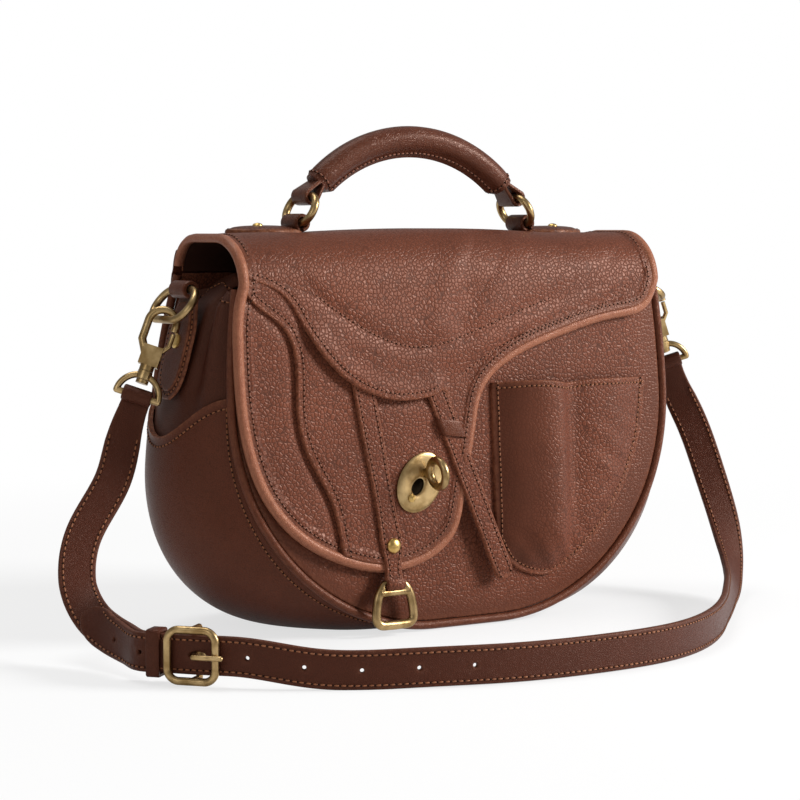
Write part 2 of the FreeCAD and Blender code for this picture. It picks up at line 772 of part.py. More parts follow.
def build_strips(seat_block):
    # stirrup leather: a slanted strip with a straight end whose loop holds the stirrup's bar
    half = "stirrup_leather_width / 2"
    bend = "stirrup_rivet_height"
    foot = "stirrup_bar_height"
    corners = [
        ("-stirrup_leather_top_side - " + half, "stirrup_leather_top"), ("-stirrup_side - " + half, bend),
        ("-stirrup_side - " + half, foot), ("-stirrup_side + " + half, foot),
        ("-stirrup_side + " + half, bend), ("-stirrup_leather_top_side + " + half, "stirrup_leather_top")]
    strip = polygon_body("stirrup_strip", corners, STRIP_START, "strip_leather")
    NODES.pop("stirrup_strip")
    doc.recompute()
    straight = feature("stirrup_strip_trim", strip.Shape.cut(seat_block))
    loop_radius = "stirrup_bar + stirrup_loop_play + strip_leather"
    middle = "-(%s + strip_leather / 2)" % STRIP_START
    loop = cylinder("stirrup_loop", loop_radius, "stirrup_leather_width")
    put(loop, "-stirrup_side - " + half, middle, foot, [("y", "90")])
    bore = cylinder("stirrup_loop_bore", "stirrup_bar + stirrup_loop_play", "stirrup_leather_width + 2 * cut_overrun")
    put(bore, "-stirrup_side - %s - cut_overrun" % half, middle, foot, [("y", "90")])
    leather = cut("stirrup_leather_cut", fuse("stirrup_leather_fuse", [straight, loop]), bore)
    on_front(node(leather, "stirrup_leather"))
    head = rivet("stirrup_rivet_turned", "stirrup_rivet_radius", "stirrup_rivet_dome",
                 "stirrup_rivet_radius / 3", "strip_leather / 2")
    put(head, "-stirrup_side", "-(%s + strip_leather)" % STRIP_START, "stirrup_rivet_height", [("x", "90")])
    seat = cylinder("stirrup_rivet_hole", "stirrup_rivet_radius / 3 + seam_gap", "strip_leather")
    put(seat, "-stirrup_side", "-(%s + strip_leather / 2 - seam_gap)" % STRIP_START, "stirrup_rivet_height", [("x", "90")])
    leather.Tool = fuse("stirrup_leather_holes", [bore, seat])
    on_front(node(fuse("stirrup_rivet_placed", [head]), "stirrup_rivet"))
    # girth strap: a diagonal strip with a rounded end, held by a keeper near its top
    slope = "(girth_top_side + girth_foot_side)"
    reach = "(girth_top - girth_foot)"
    wide = "girth_width / 2"
    corners = [
        ("-girth_top_side - " + wide, "girth_top"), ("girth_foot_side - " + wide, "girth_foot"),
        ("girth_foot_side - %s * 0.55 + %s * 0.06" % (wide, slope), "girth_foot - %s * 0.05" % reach),
        ("girth_foot_side + %s * 0.55 + %s * 0.06" % (wide, slope), "girth_foot - %s * 0.045" % reach),
        ("girth_foot_side + " + wide, "girth_foot"), ("-girth_top_side + " + wide, "girth_top")]
    strip = polygon_body("girth_strip", corners, STRIP_START, "strip_leather")
    NODES.pop("girth_strip")
    doc.recompute()
    on_front(node(feature("girth_strap_shape", strip.Shape.cut(seat_block)), "girth_strap"))
    # the keeper goes round the strap's front and sides
    share = "((girth_top - keeper_height) / %s)" % reach
    centre = "(-girth_top_side + %s * %s)" % (slope, share)
    shift = "(%s * keeper_band / 2 / %s)" % (slope, reach)
    outer = wide + " + keeper_leather + seam_gap"
    inner = wide + " + seam_gap"
    low, high = "keeper_height - keeper_band / 2", "keeper_height + keeper_band / 2"

    def band(reach_out):
        return [
            ("%s + %s - (%s)" % (centre, shift, reach_out), low), ("%s + %s + %s" % (centre, shift, reach_out), low),
            ("%s - %s + %s" % (centre, shift, reach_out), high), ("%s - %s - (%s)" % (centre, shift, reach_out), high)]

    block = polygon_body("keeper_block", band(outer), STRIP_START, "strip_leather + seam_gap + keeper_leather")
    space = polygon_body("keeper_space", band(inner), STRIP_START + " - cut_overrun",
                         "cut_overrun + strip_leather + seam_gap")
    for name in ("keeper_block", "keeper_space"):
        NODES.pop(name)
    on_front(node(cut("girth_keeper_cut", block, space), "girth_keeper"))


# turn lock

PLATE_START = "(flap_gap + flap_leather + overlay_leather)"


def build_lock():
    face = doc.addObject("Part::Ellipse", "plate_ellipse")
    bind(face, MajorRadius="plate_long", MinorRadius="plate_short")
    slab = doc.addObject("Part::Extrusion", "plate_slab")
    slab.Base = face
    slab.DirMode = "Custom"
    slab.Dir = V(0, 0, 1)
    slab.Solid = True
    bind(slab, LengthFwd="plate_thickness")
    # the knob's post stands off the plate's middle, toward its upper end
    put(slab, "-plate_offset", "0", "0")
    bore = cylinder("plate_bore", "knob_stem + running_gap", "plate_thickness + 2 * cut_overrun")
    put(bore, "0", "0", "-cut_overrun")
    holes = [bore]
    rivets = []
    rivet_places = (
        (-1, "-plate_offset - (plate_long + knob_stem) / 2"),
        (1, "plate_long - plate_offset - 1.6 * plate_rivet_radius"))
    for side, place in rivet_places:
        hole = cylinder("plate_rivet_hole_%d" % (side + 1), "plate_rivet_radius / 2 + seam_gap",
                        "plate_thickness + 2 * cut_overrun")
        holes.append(put(hole, place, "0", "-cut_overrun"))
        head = rivet("plate_rivet_%d" % (side + 1), "plate_rivet_radius", "plate_rivet_height",
                     "plate_rivet_radius / 2", "plate_thickness")
        rivets.append(put(head, place, "0", "plate_thickness"))
    turns = [("x", "-front_lean"), ("x", "90"), ("z", "plate_tilt")]

    def on_lock(item, out):
        """Seat a piece built on the XY plane on the front, at the lock's axis."""
        lean = "front_lean"
        y = "-front_reach + sin(%s) * lock_height - cos(%s) * (%s)" % (lean, lean, out)
        z = "cos(%s) * lock_height + sin(%s) * (%s)" % (lean, lean, out)
        return put(item, "-lock_side", y, z, turns)

    plate = cut("lock_plate_cut", slab, fuse("plate_holes", holes))
    on_lock(node(plate, "lock_plate"), PLATE_START)
    on_lock(node(fuse("lock_plate_rivets_fuse", rivets), "lock_plate_rivets"), PLATE_START)
    # knob: ring on a post, a bearing in the plate, a thin neck and a tongue behind the front
    bearing = cylinder("knob_bearing", "knob_stem", "plate_thickness + knob_post")
    behind = "panel_leather + receiver_thickness + soft_gap"
    neck = cylinder("knob_neck_rod", "knob_neck", "%s + %s" % (PLATE_START, behind))
    put(neck, "0", "0", "-(%s + %s)" % (PLATE_START, behind))
    ring = bind(doc.addObject("Part::Torus", "knob_ring_torus"), Radius1="knob_ring", Radius2="knob_wire")
    put(ring, "0", "0", "plate_thickness + knob_post + knob_ring + knob_wire / 2",
        [("z", "knob_turn"), ("x", "90")])
    tongue = box("knob_tongue", "tongue_length", "tongue_width", "tongue_thickness")
    upright = "90 - plate_tilt"
    put(tongue, "-cos(%s) * tongue_length / 2 + sin(%s) * tongue_width / 2" % (upright, upright),
        "-sin(%s) * tongue_length / 2 - cos(%s) * tongue_width / 2" % (upright, upright),
        "-(%s + %s + tongue_thickness)" % (PLATE_START, behind), [("z", upright)])
    on_lock(node(fuse("turn_knob_fuse", [bearing, neck, ring, tongue]), "turn_knob"), PLATE_START)
    # receiver outside and backing inside the front, both slotted for the tongue
    border = "receiver_border"
    left, right = "-lock_side - slot_width / 2 - " + border, "-lock_side + slot_width / 2 + " + border
    low, high = "lock_height - slot_below - " + border, "lock_height + slot_above + " + border
    corners = [(left, low), (right, low), (right, high), (left, high)]
    for label, start in (("lock_receiver", "0"), ("lock_backing", "-panel_leather - receiver_thickness")):
        body = polygon_body(label, corners, start, "receiver_thickness")
        lock_slot(body, "0")
        on_front(body)


def build_stirrup():
    """A cast frame: a round bar in the leather's loop, two flaring sides and a flat sole."""
    top = "stirrup_bar_height"
    rod = "stirrup_rod"
    out = "(%s + strip_leather / 2)" % PLATE_START
    bar = cylinder("stirrup_top_bar", "stirrup_bar", "2 * stirrup_shoulder")
    put(bar, "-stirrup_side - stirrup_shoulder", "-" + out, top, [("y", "90")])
    shoulder, foot = "stirrup_shoulder", "stirrup_foot_half"
    low = top + " - stirrup_drop"
    sole = low + " + stirrup_sole"
    corners = [
        ("-stirrup_side - %s - %s / 2" % (shoulder, rod), top + " + " + "stirrup_bar"),
        ("-stirrup_side - %s" % foot, low + " + stirrup_sole / 2"), ("-stirrup_side - %s * 0.8" % foot, low),
        ("-stirrup_side + %s * 0.8" % foot, low), ("-stirrup_side + %s" % foot, low + " + stirrup_sole / 2"),
        ("-stirrup_side + %s + %s / 2" % (shoulder, rod), top + " + " + "stirrup_bar")]
    start = out + " - stirrup_bar"
    frame = polygon_body("stirrup_block", corners, start, "2 * stirrup_bar")
    window = [
        ("-stirrup_side - %s + %s / 2" % (shoulder, rod), top + " + 2 * cut_overrun"),
        ("-stirrup_side - %s + %s" % (foot, rod), sole), ("-stirrup_side + %s - %s" % (foot, rod), sole),
        ("-stirrup_side + %s - %s / 2" % (shoulder, rod), top + " + 2 * cut_overrun")]
    sketch = new_sketch(frame, start=out)
    draw_polygon(sketch, window)
    pocket_through(frame, sketch)
    NODES.pop("stirrup_block")
    on_front(node(fuse("stirrup_fuse", [frame, bar]), "stirrup"))


# carrying handle


def oval_ring(name, wire, rise, straight):
    """A stadium ring: its lower bar lies along Y at the origin, its upper bar at the height rise."""
    pieces = []
    for tag, height in (("low", "0"), ("high", rise)):
        bar = cylinder(name + "_bar_" + tag, wire, straight)
        pieces.append(put(bar, "0", "-(%s) / 2" % straight, height, [("x", "-90")]))
    for tag, sign, turn in (("far", 1, "0"), ("near", -1, "180")):
        bend = half_torus(name + "_bend_" + tag, "(%s) / 2" % rise, wire)
        pieces.append(put(bend, "0", "%d * (%s) / 2" % (sign, straight), "(%s) / 2" % rise,
                          [("z", turn), ("y", "-90")]))
    return fuse(name, pieces)


def loop_about(name, radius, width, body, bore):
    """A leather loop about the Y axis at the origin, joined to a body, with a round bore."""
    sleeve = cylinder(name + "_sleeve", radius, width)
    put(sleeve, "0", "-(%s) / 2" % width, "0", [("x", "-90")])
    hole = cylinder(name + "_bore", bore, width + " + 2 * cut_overrun")
    put(hole, "0", "-(%s) / 2 - cut_overrun" % width, "0", [("x", "-90")])
    return cut(name, fuse(name + "_fuse", [sleeve, body]), hole)


def build_handle():
    front, back, top, back_radius, hinge = arch_sizes()
    # the flap's top height is worked out once and kept in the sheet for the pieces that stand on it
    row = len(DIMENSIONS) + 1
    DIMENSIONS["flap_top"] = top
    sheet.set("A%d" % row, "flap_top")
    sheet.set("B%d" % row, str(top))
    sheet.setAlias("B%d" % row, "flap_top")
    doc.recompute()
    bore = "handle_wire + handle_loop_play"
    sleeve = bore + " + handle_loop_leather"
    pivot_z = "flap_top + handle_pivot_rise"
    bar_side = "handle_pivot_side - sin(handle_ring_lean) * handle_ring_rise"
    bar_z = pivot_z + " + cos(handle_ring_lean) * handle_ring_rise"
    rivets = []
    for name, sign in (("left", -1), ("right", 1)):
        # tab: a leaf of leather on the flap's top, with a loop over the ring's lower bar
        leaf = doc.addObject("PartDesign::Body", "tab_leaf_" + name)
        sketch = new_sketch(leaf, "XY_Plane", "-handle_pivot_rise")
        inner, wide = "handle_loop_width / 2", "tab_half_width"
        draw_polygon(sketch, [
            ("-handle_wire", "-" + inner), ("tab_length * 0.35", "-" + wide), ("tab_length * 0.75", "-%s * 0.72" % wide),
            ("tab_length", "-%s * 0.2" % wide), ("tab_length", "%s * 0.2" % wide),
            ("tab_length * 0.75", "%s * 0.72" % wide), ("tab_length * 0.35", wide), ("-handle_wire", inner)])
        pad(leaf, sketch, "tab_leather")
        tab = loop_about("handle_tab_%s_loop" % name, sleeve, "handle_loop_width", leaf, bore)
        turn = [("z", "0" if sign > 0 else "180")]
        seat = cylinder("handle_tab_seat_" + name, "tab_rivet_radius / 2 + seam_gap", "tab_leather + handle_pivot_rise")
        put(seat, "tab_length * 0.55", "0", "-handle_pivot_rise")
        clear = box("handle_tab_clear_" + name, "4 * handle_pivot_rise", "2 * handle_loop_width", "handle_pivot_rise")
        put(clear, "-2 * handle_pivot_rise", "-handle_loop_width", "-2 * handle_pivot_rise")
        tab = cut("handle_tab_%s_cut" % name, tab, fuse("handle_tab_holes_" + name, [seat, clear]))
        put(node(tab, "handle_tab_" + name), "%d * handle_pivot_side" % sign, "handle_setback", pivot_z, turn)
        head = rivet("tab_rivet_" + name, "tab_rivet_radius", "tab_rivet_dome", "tab_rivet_radius / 2", "tab_leather")
        put(head, "%d * (handle_pivot_side + tab_length * 0.55)" % sign, "handle_setback", "flap_top + tab_leather")
        rivets.append(head)
        ring = oval_ring("handle_ring_" + name + "_fuse", "handle_wire", "handle_ring_rise", "handle_ring_straight")
        put(node(ring, "handle_ring_" + name), "%d * handle_pivot_side" % sign, "handle_setback", pivot_z,
            [("y", "%d * handle_ring_lean" % -sign)])
        # loop: from the ring's upper bar along the handle's end
        neck = box("handle_neck_" + name, "handle_neck + handle_loop_play + handle_thickness", "handle_loop_width",
                   "2 * (handle_wire + handle_loop_leather)")
        put(neck, "0", "-handle_loop_width / 2", "-(handle_wire + handle_loop_leather)")
        loop = loop_about("handle_loop_%s_cut" % name, sleeve, "handle_loop_width", neck, bore)
        swing = "180 + handle_arc_half_angle" if sign > 0 else "-handle_arc_half_angle"
        put(node(loop, "handle_loop_" + name), "%d * (%s)" % (sign, bar_side), "handle_setback", bar_z,
            [("y", swing)])
    node(fuse("handle_tab_rivets_fuse", rivets), "handle_tab_rivets")
    # handle: a rolled cover over a round core, both bent on one arc
    bent = [("x", "90"), ("z", "90 - handle_arc_half_angle")]
    apex = "flap_top + handle_apex - handle_arc_radius"

    def arc_tube(name, radius):
        tube = bind(doc.addObject("Part::Torus", name), Radius1="handle_arc_radius", Radius2=radius,
                    Angle3="2 * handle_arc_half_angle")
        return put(tube, "0", "handle_setback", apex, bent)

    cover = cut("handle_cover_cut", arc_tube("handle_cover_tube", "handle_thickness"),
                arc_tube("handle_cover_bore", "handle_core_radius"))
    node(cover, "handle_cover")
    node(arc_tube("handle_core_tube", "handle_core_radius"), "handle_core")


# side tabs, rings and snap hooks


def side_numbers(sign):
    """Where the hook hangs on one side: the ring's outer bar, in X and Z."""
    swing = "side_ring_swing_left" if sign < 0 else "side_ring_swing_right"
    # the tab leans with the gusset, so a lower loop stands further out
    stand = "side_tab_stand + (gusset_top - side_loop_height) * tan(side_tab_slope)"
    loop = "(%s + side_ring_wire + side_loop_play + side_tab_leather)" % stand
    bar_x = "(%s + sin(%s) * side_ring_rise)" % (loop, swing)
    bar_z = "(side_loop_height - cos(%s) * side_ring_rise)" % swing
    return swing, loop, bar_x, bar_z


HOOK_TOP = "(hook_rise + hook_arc_radius - hook_wire - side_ring_wire - hook_clear)"


def build_side(name, sign):
    swing, loop, bar_x, bar_z = side_numbers(sign)
    depth = "-side_tab_setback"
    # tab: an upright patch of leather with a loop for the ring at its top
    patch = doc.addObject("PartDesign::Body", "side_patch_" + name)
    sketch = new_sketch(patch, "YZ_Plane", "-(side_ring_wire + side_loop_play + side_tab_leather)")
    half, foot = "side_tab_width / 2", "(-side_tab_length)"
    neck = "side_loop_width / 2"
    draw_polygon(sketch, [
        ("-" + neck, "0"), ("-" + half, foot + " * 0.35"), ("-" + half, foot + " * 0.8"),
        ("-%s * 0.5" % half, foot), ("%s * 0.5" % half, foot), (half, foot + " * 0.8"),
        (half, foot + " * 0.35"), (neck, "0")])
    pad(patch, sketch, "side_tab_leather")
    tab = loop_about("side_tab_%s_loop" % name, "side_ring_wire + side_loop_play + side_tab_leather",
                     "side_loop_width", patch, "side_ring_wire + side_loop_play")
    seat = cylinder("side_tab_seat_" + name, "side_rivet_radius / 2 + seam_gap", "4 * side_tab_leather")
    put(seat, "-(side_ring_wire + side_loop_play + 2 * side_tab_leather)", "0", "-side_rivet_drop",
        [("y", "90")])
    tab = cut("side_tab_%s_cut" % name, tab, seat)
    turn = [("z", "0" if sign > 0 else "180"), ("y", "-side_tab_slope")]
    put(node(tab, "side_tab_" + name), "%d * %s" % (sign, loop), depth, "side_loop_height", turn)
    head = rivet("side_rivet_" + name, "side_rivet_radius", "side_rivet_dome", "side_rivet_radius / 2",
                 "side_tab_leather")
    inward, drop = "(side_ring_wire + side_loop_play)", "side_rivet_drop"
    head_x = "%s - %s * cos(side_tab_slope) + %s * sin(side_tab_slope)" % (loop, inward, drop)
    head_z = "side_loop_height - %s * sin(side_tab_slope) - %s * cos(side_tab_slope)" % (inward, drop)
    put(head, "%d * (%s)" % (sign, head_x), depth, head_z, [("y", "%d * (90 - side_tab_slope)" % sign)])
    ring = oval_ring("side_ring_%s_fuse" % name, "side_ring_wire", "side_ring_rise", "side_ring_straight")
    put(node(ring, "side_ring_" + name), "%d * %s" % (sign, loop), depth, "side_loop_height",
        [("y", "180 - %d * %s" % (sign, swing))])
    # hook: its own frame has Z up along the swivel and X across the hook; the barrel's top is z = 0
    lean = "hook_tilt_" + name
    tilt = ("y", "%d * -%s" % (sign, lean))
    hook_x = "%d * (%s + sin(%s) * %s)" % (sign, bar_x, lean, HOOK_TOP)
    hook_z = "%s - cos(%s) * %s" % (bar_z, lean, HOOK_TOP)

    def hang(item, label, yaw):
        return put(node(item, label), hook_x, depth, hook_z, [tilt, ("z", yaw)])

    cheeks = box("hook_cheeks_" + name, "2 * hook_cheek_half", "hook_cheek_thickness", "hook_cheek_height")
    put(cheeks, "-hook_cheek_half", "-hook_cheek_thickness / 2", "hook_collar_height")
    slot = box("hook_slot_" + name, "2 * hook_cheek_half", "gate_slot", "hook_cheek_height")
    put(slot, "gate_pivot_side - gate_hub - gate_gap", "-gate_slot / 2", "gate_pivot_height - gate_hub - gate_gap")
    pin_hole = cylinder("gate_pin_hole_" + name, "gate_pin", "2 * hook_cheek_thickness")
    put(pin_hole, "gate_pivot_side", "-hook_cheek_thickness", "gate_pivot_height", [("x", "-90")])
    cheeks = cut("hook_cheeks_cut_" + name, cheeks, fuse("hook_cheek_holes_" + name, [slot, pin_hole]))
    collar = put(cylinder("hook_collar_" + name, "hook_collar_radius", "hook_collar_height"))
    stem = cylinder("hook_stem_" + name, "stem_radius", "barrel_height + 2 * barrel_play")
    put(stem, "0", "0", "-barrel_height - 2 * barrel_play")
    head_z = "-barrel_height - 2 * barrel_play - stem_head_height"
    stem_head = put(cylinder("hook_stem_head_" + name, "stem_head_radius", "stem_head_height"), "0", "0", head_z)
    radius, rise, foot = value("hook_arc_radius"), value("hook_rise"), value("hook_collar_height + hook_cheek_height / 2")
    knee = value("hook_collar_height + hook_cheek_height + hook_wire")
    nose = value("hook_rise - hook_wire - gate_gap")
    inside = value("hook_cheek_half - hook_wire")
    points = [V(-inside, 0, foot), V(-radius, 0, knee), V(-radius, 0, rise), V(0, 0, rise + radius), V(radius, 0, rise)]
    path = Part.Wire([
        Part.LineSegment(points[0], points[1]).toShape(), Part.LineSegment(points[1], points[2]).toShape(),
        Part.Arc(points[2], points[3], points[4]).toShape(),
        Part.LineSegment(points[4], V(radius, 0, nose)).toShape()])
    circle = Part.Circle(points[0], points[1] - points[0], value("hook_wire")).toShape()
    arm = feature("hook_arm_" + name, path.makePipeShell([Part.Wire([circle])], True, False, 2))
    hang(fuse("hook_fuse_" + name, [cheeks, collar, stem, stem_head, arm]), "hook_" + name, "-hook_yaw")
    # gate: a lever on a hub between the cheeks, its tip under the hook's nose
    tip = V(radius, 0, nose - value("gate_tip_gap"))
    root = V(value("gate_pivot_side"), 0, value("gate_pivot_height"))
    bend = V(radius, 0, knee)
    lever = Part.Wire([Part.LineSegment(root, bend).toShape(), Part.LineSegment(bend, tip).toShape()])
    circle = Part.Circle(root, bend - root, value("gate_wire")).toShape()
    lever_rod = feature("gate_rod_" + name, lever.makePipeShell([Part.Wire([circle])], True, False, 2))
    hub = cylinder("gate_hub_" + name, "gate_hub", "gate_slot - 2 * soft_gap")
    put(hub, "gate_pivot_side", "-gate_slot / 2 + soft_gap", "gate_pivot_height", [("x", "-90")])
    hub_bore = cylinder("gate_hub_bore_" + name, "gate_pin + running_gap", "2 * gate_slot")
    put(hub_bore, "gate_pivot_side", "-gate_slot", "gate_pivot_height", [("x", "-90")])
    hang(cut("gate_cut_" + name, fuse("gate_fuse_" + name, [lever_rod, hub]), hub_bore), "hook_gate_" + name, "-hook_yaw")
    pin = cylinder("gate_pin_" + name, "gate_pin", "hook_cheek_thickness")
    put(pin, "gate_pivot_side", "-hook_cheek_thickness / 2", "gate_pivot_height", [("x", "-90")])
    hang(fuse("gate_pin_fuse_" + name, [pin]), "hook_gate_pin_" + name, "-hook_yaw")
    # bail: a barrel that the stem turns in, a half ring and a straight bar for the strap
    barrel = put(cylinder("barrel_" + name, "barrel_radius", "barrel_height"), "0", "0", "-barrel_height - barrel_play")
    bow = half_torus("bail_bow_" + name, "bail_radius", "bail_wire")
    bow_z = "-barrel_height / 2 - barrel_play - bail_radius"
    put(bow, "0", "0", bow_z, [("x", "90")])
    bar = cylinder("bail_bar_" + name, "bail_wire", "2 * bail_radius")
    put(bar, "-bail_radius", "0", bow_z, [("y", "90")])
    corners = []
    for end in (-1, 1):
        ball = bind(doc.addObject("Part::Sphere", "bail_corner_%s_%d" % (name, end + 1)), Radius="bail_wire")
        corners.append(put(ball, "%d * bail_radius" % end, "0", bow_z))
    bore = cylinder("barrel_bore_" + name, "stem_radius + running_gap", "barrel_height + 2 * cut_overrun")
    put(bore, "0", "0", "-barrel_height - barrel_play - cut_overrun")
    bail = cut("bail_cut_" + name, fuse("bail_fuse_" + name, [barrel, bow, bar] + corners), bore)
    hang(bail, "bail_" + name, "-hook_yaw")
    return head


# shoulder strap


def bail_bar(name):
    """Middle of the bail's bar and its direction, in the bag's frame."""
    bail = NODES["bail_" + name]
    low = value("barrel_height / 2 + barrel_play + bail_radius")
    place = bail.Placement
    return place.multVec(V(0, 0, -low)), place.Rotation.multVec(V(1, 0, 0)), place.Rotation.multVec(V(0, 0, -1))


def strap_slab(stations, thickness, shift, start_shares=(), end_shares=()):
    """A band through stations of (place, width direction, outward direction), shifted outwards;
    the shares narrow its first and last stations."""
    wires = []
    half_thick = thickness / 2
    shares = list(start_shares) + [1] * (len(stations) - len(start_shares) - len(end_shares)) + list(end_shares)
    for share, (place, across, out) in zip(shares, stations):
        half_wide = value("strap_width") / 2 * share
        middle = place + out * shift
        corners = [middle + across * (half_wide * a) + out * (half_thick * b)
                   for a, b in ((-1, -1), (1, -1), (1, 1), (-1, 1))]
        wires.append(Part.makePolygon(corners + [corners[0]]))
    return Part.makeLoft(wires, True, True)


def stations_of(places):
    """Width and outward directions along a route of (place, width) pairs, refined between them."""
    fine = []
    count = len(places)
    steps = 3
    for index in range(count - 1):
        around = [places[min(max(index + k, 0), count - 1)] for k in (-1, 0, 1, 2)]
        for step in range(steps):
            t = step / steps
            mix = [(-t + 2 * t ** 2 - t ** 3) / 2, (2 - 5 * t ** 2 + 3 * t ** 3) / 2,
                   (t + 4 * t ** 2 - 3 * t ** 3) / 2, (t ** 3 - t ** 2) / 2]
            spot = sum((pair[0] * weight for pair, weight in zip(around, mix)), V(0, 0, 0))
            wide = around[1][1] * (1 - t) + around[2][1] * t
            fine.append((spot, wide))
    fine.append(places[-1])
    stations = []
    for index, (spot, wide) in enumerate(fine):
        before, after = fine[max(index - 1, 0)][0], fine[min(index + 1, len(fine) - 1)][0]
        along = (after - before).normalize()
        across = (wide - along * wide.dot(along)).normalize()
        stations.append((spot, across, along.cross(across).normalize()))
    return stations


def route(shares, bar):
    """Places along a route that climbs from the floor, where the strap lies on its edge, to a bail's bar."""
    spread, reach = value("strap_spread"), value("strap_reach")
    edge = value("strap_width / 2 + strap_floor_gap")
    rise = bar.z - edge
    return [(V(a * spread, -b * reach, edge + c * rise), V(*wide).normalize()) for a, b, c, wide in shares]


def build_strap():
    turn = math.radians(value("buckle_turn"))
    along = V(math.cos(turn), -math.sin(turn), 0)
    out = V(-math.sin(turn), -math.cos(turn), 0)
    up = V(0, 0, 1)
    middle = V(-value("buckle_side"), -value("buckle_forward"), value("buckle_lift"))
    half, wire = value("buckle_half"), value("buckle_wire")
    thick, wide = value("strap_leather"), value("strap_width")
    gap = value("strap_layer_gap")
    layer = thick + gap

    def at(a, b, c):
        """A place in the buckle's frame: along the strap, out from its middle, up."""
        return middle + along * a + out * b + up * c

    def rod(first, last, radius):
        return Part.makeCylinder(radius, (last - first).Length, first, last - first)

    def block(low, high):
        solid = Part.makeBox(high[0] - low[0], high[1] - low[1], high[2] - low[2], V(low[0], -high[1], low[2]))
        turned = FreeCAD.Rotation(V(0, 0, 1), -math.degrees(turn))
        solid.Placement = FreeCAD.Placement(middle, turned)
        return solid

    def bar_loop(name):
        place, direction, _ = bail_bar(name)
        outer = value("bail_wire + strap_loop_play + strap_loop_leather")
        narrow = value("strap_loop_width")
        ring = Part.makeCylinder(outer, narrow, place - direction * (narrow / 2), direction)
        hole = Part.makeCylinder(value("bail_wire + strap_loop_play"), 2 * wide, place - direction * wide, direction)
        return ring, hole

    # buckle end: from the left bail down to a loop round the buckle's centre bar
    clear = value("strap_loop_play")
    bar = wire * 0.85
    sleeve_leather = value("strap_loop_leather")
    post = thick / 2 + gap + sleeve_leather + clear + wire
    place, direction, down = bail_bar("left")
    begin = [(place, direction), (place + down * wide, direction)]
    stop = at(-half / 2, 0, 0)
    inner = [(stop - along * half * 1.7, up), (stop - along * half, up), (stop, up)]
    left = stations_of(begin + route(LEFT_ROUTE_SHARES, place) + inner)
    bail_shares = [0.8, 0.86, 0.92, 0.97]
    band = strap_slab(left, thick, -layer, bail_shares)
    ring, hole = bar_loop("left")
    sleeve = rod(at(0, -post, -wide / 2), at(0, -post, wide / 2), wire + clear + sleeve_leather)
    bridge = block((-half / 2 - gap, -layer - thick / 2, -wide / 2), (0, -layer + thick / 2, wide / 2))
    bore = rod(at(0, -post, -wide), at(0, -post, wide), wire + clear)
    notch = value("prong_radius") * 2 + 2 * gap
    mouth = block((-half / 2, -3 * post, -notch), (half, 0, notch))
    leather = band.fuse([ring, sleeve, bridge]).cut(Part.makeCompound([hole, bore, mouth]))
    node(feature("strap_buckle_end_shape", leather), "strap_buckle_end")
    # punched end: from its tail tip over the left strap, through the buckle, to the right bail
    lengths = [0.0]
    for first, second in zip(reversed(left), list(reversed(left))[1:]):
        lengths.append(lengths[-1] + (first[0] - second[0]).Length)
    tail_count = len([length for length in lengths if length < value("tail_length")])
    place, direction, down = bail_bar("right")
    finish = [(place + down * wide, -direction), (place, -direction)]
    through = [(stop, up), (at(half / 2, 0, 0), up), (at(half * 2, 0, 0), up)]
    right = stations_of(through + route(RIGHT_ROUTE_SHARES, place) + finish)
    whole = left[-tail_count:-1] + right
    tip_shares = [0.3, 0.82]
    band = strap_slab(whole, thick, 0, tip_shares, bail_shares[::-1])
    ring, hole = bar_loop("right")
    slot_half, slot_wide = value("prong_slot") / 2, value("prong_radius") + gap
    slot = block((-slot_half / 2, -layer, -slot_wide), (slot_half * 1.5, layer, slot_wide))
    cutters = [hole, slot] + strap_holes(whole, middle)
    node(feature("strap_punched_end_shape", band.fuse(ring).cut(Part.makeCompound(cutters))), "strap_punched_end")
    # keeper: a band round both straps beside the buckle
    reach, band_half, skin = value("keeper_offset"), value("strap_keeper_band") / 2, value("keeper_leather")
    low = (-reach - band_half, -layer - thick / 2 - 2 * gap, -wide / 2 - gap)
    high = (-reach + band_half, thick / 2 + 2 * gap, wide / 2 + gap)
    outer = block((low[0], low[1] - skin, low[2] - skin), (high[0], high[1] + skin, high[2] + skin))
    space = block((low[0] - skin, low[1], low[2]), (high[0] + skin, high[1], high[2]))
    node(feature("strap_keeper_shape", outer.cut(space)), "strap_keeper")
    # buckle frame: a rounded square ring outside the punched end and a centre bar behind it
    front = thick / 2 + gap + wire
    bend = value("buckle_corner")
    slant = half - bend * (1 - math.sqrt(0.5))
    arcs = []
    for a, b in ((-1, -1), (1, -1), (1, 1), (-1, 1)):
        side_end, level_end = at(a * half, front, b * (half - bend)), at(a * (half - bend), front, b * half)
        first, final = (side_end, level_end) if a * b > 0 else (level_end, side_end)
        arcs.append((first, at(a * slant, front, b * slant), final))
    edges = []
    for arc, following in zip(arcs, arcs[1:] + arcs[:1]):
        edges.append(Part.Arc(*arc).toShape())
        edges.append(Part.LineSegment(arc[2], following[0]).toShape())
    circle = Part.Circle(edges[0].Vertexes[0].Point, edges[0].tangentAt(edges[0].FirstParameter), wire).toShape()
    ring = Part.Wire(edges).makePipeShell([Part.Wire([circle])], True, False)
    stops = [at(0, front, -half), at(0, -post, -half), at(0, -post, half), at(0, front, half)]
    path = Part.makePolygon(stops)
    circle = Part.Circle(stops[0], stops[1] - stops[0], bar).toShape()
    staple = path.makePipeShell([Part.Wire([circle])], True, False, 2)
    node(feature("buckle_frame_shape", ring.fuse(staple)), "buckle_frame")
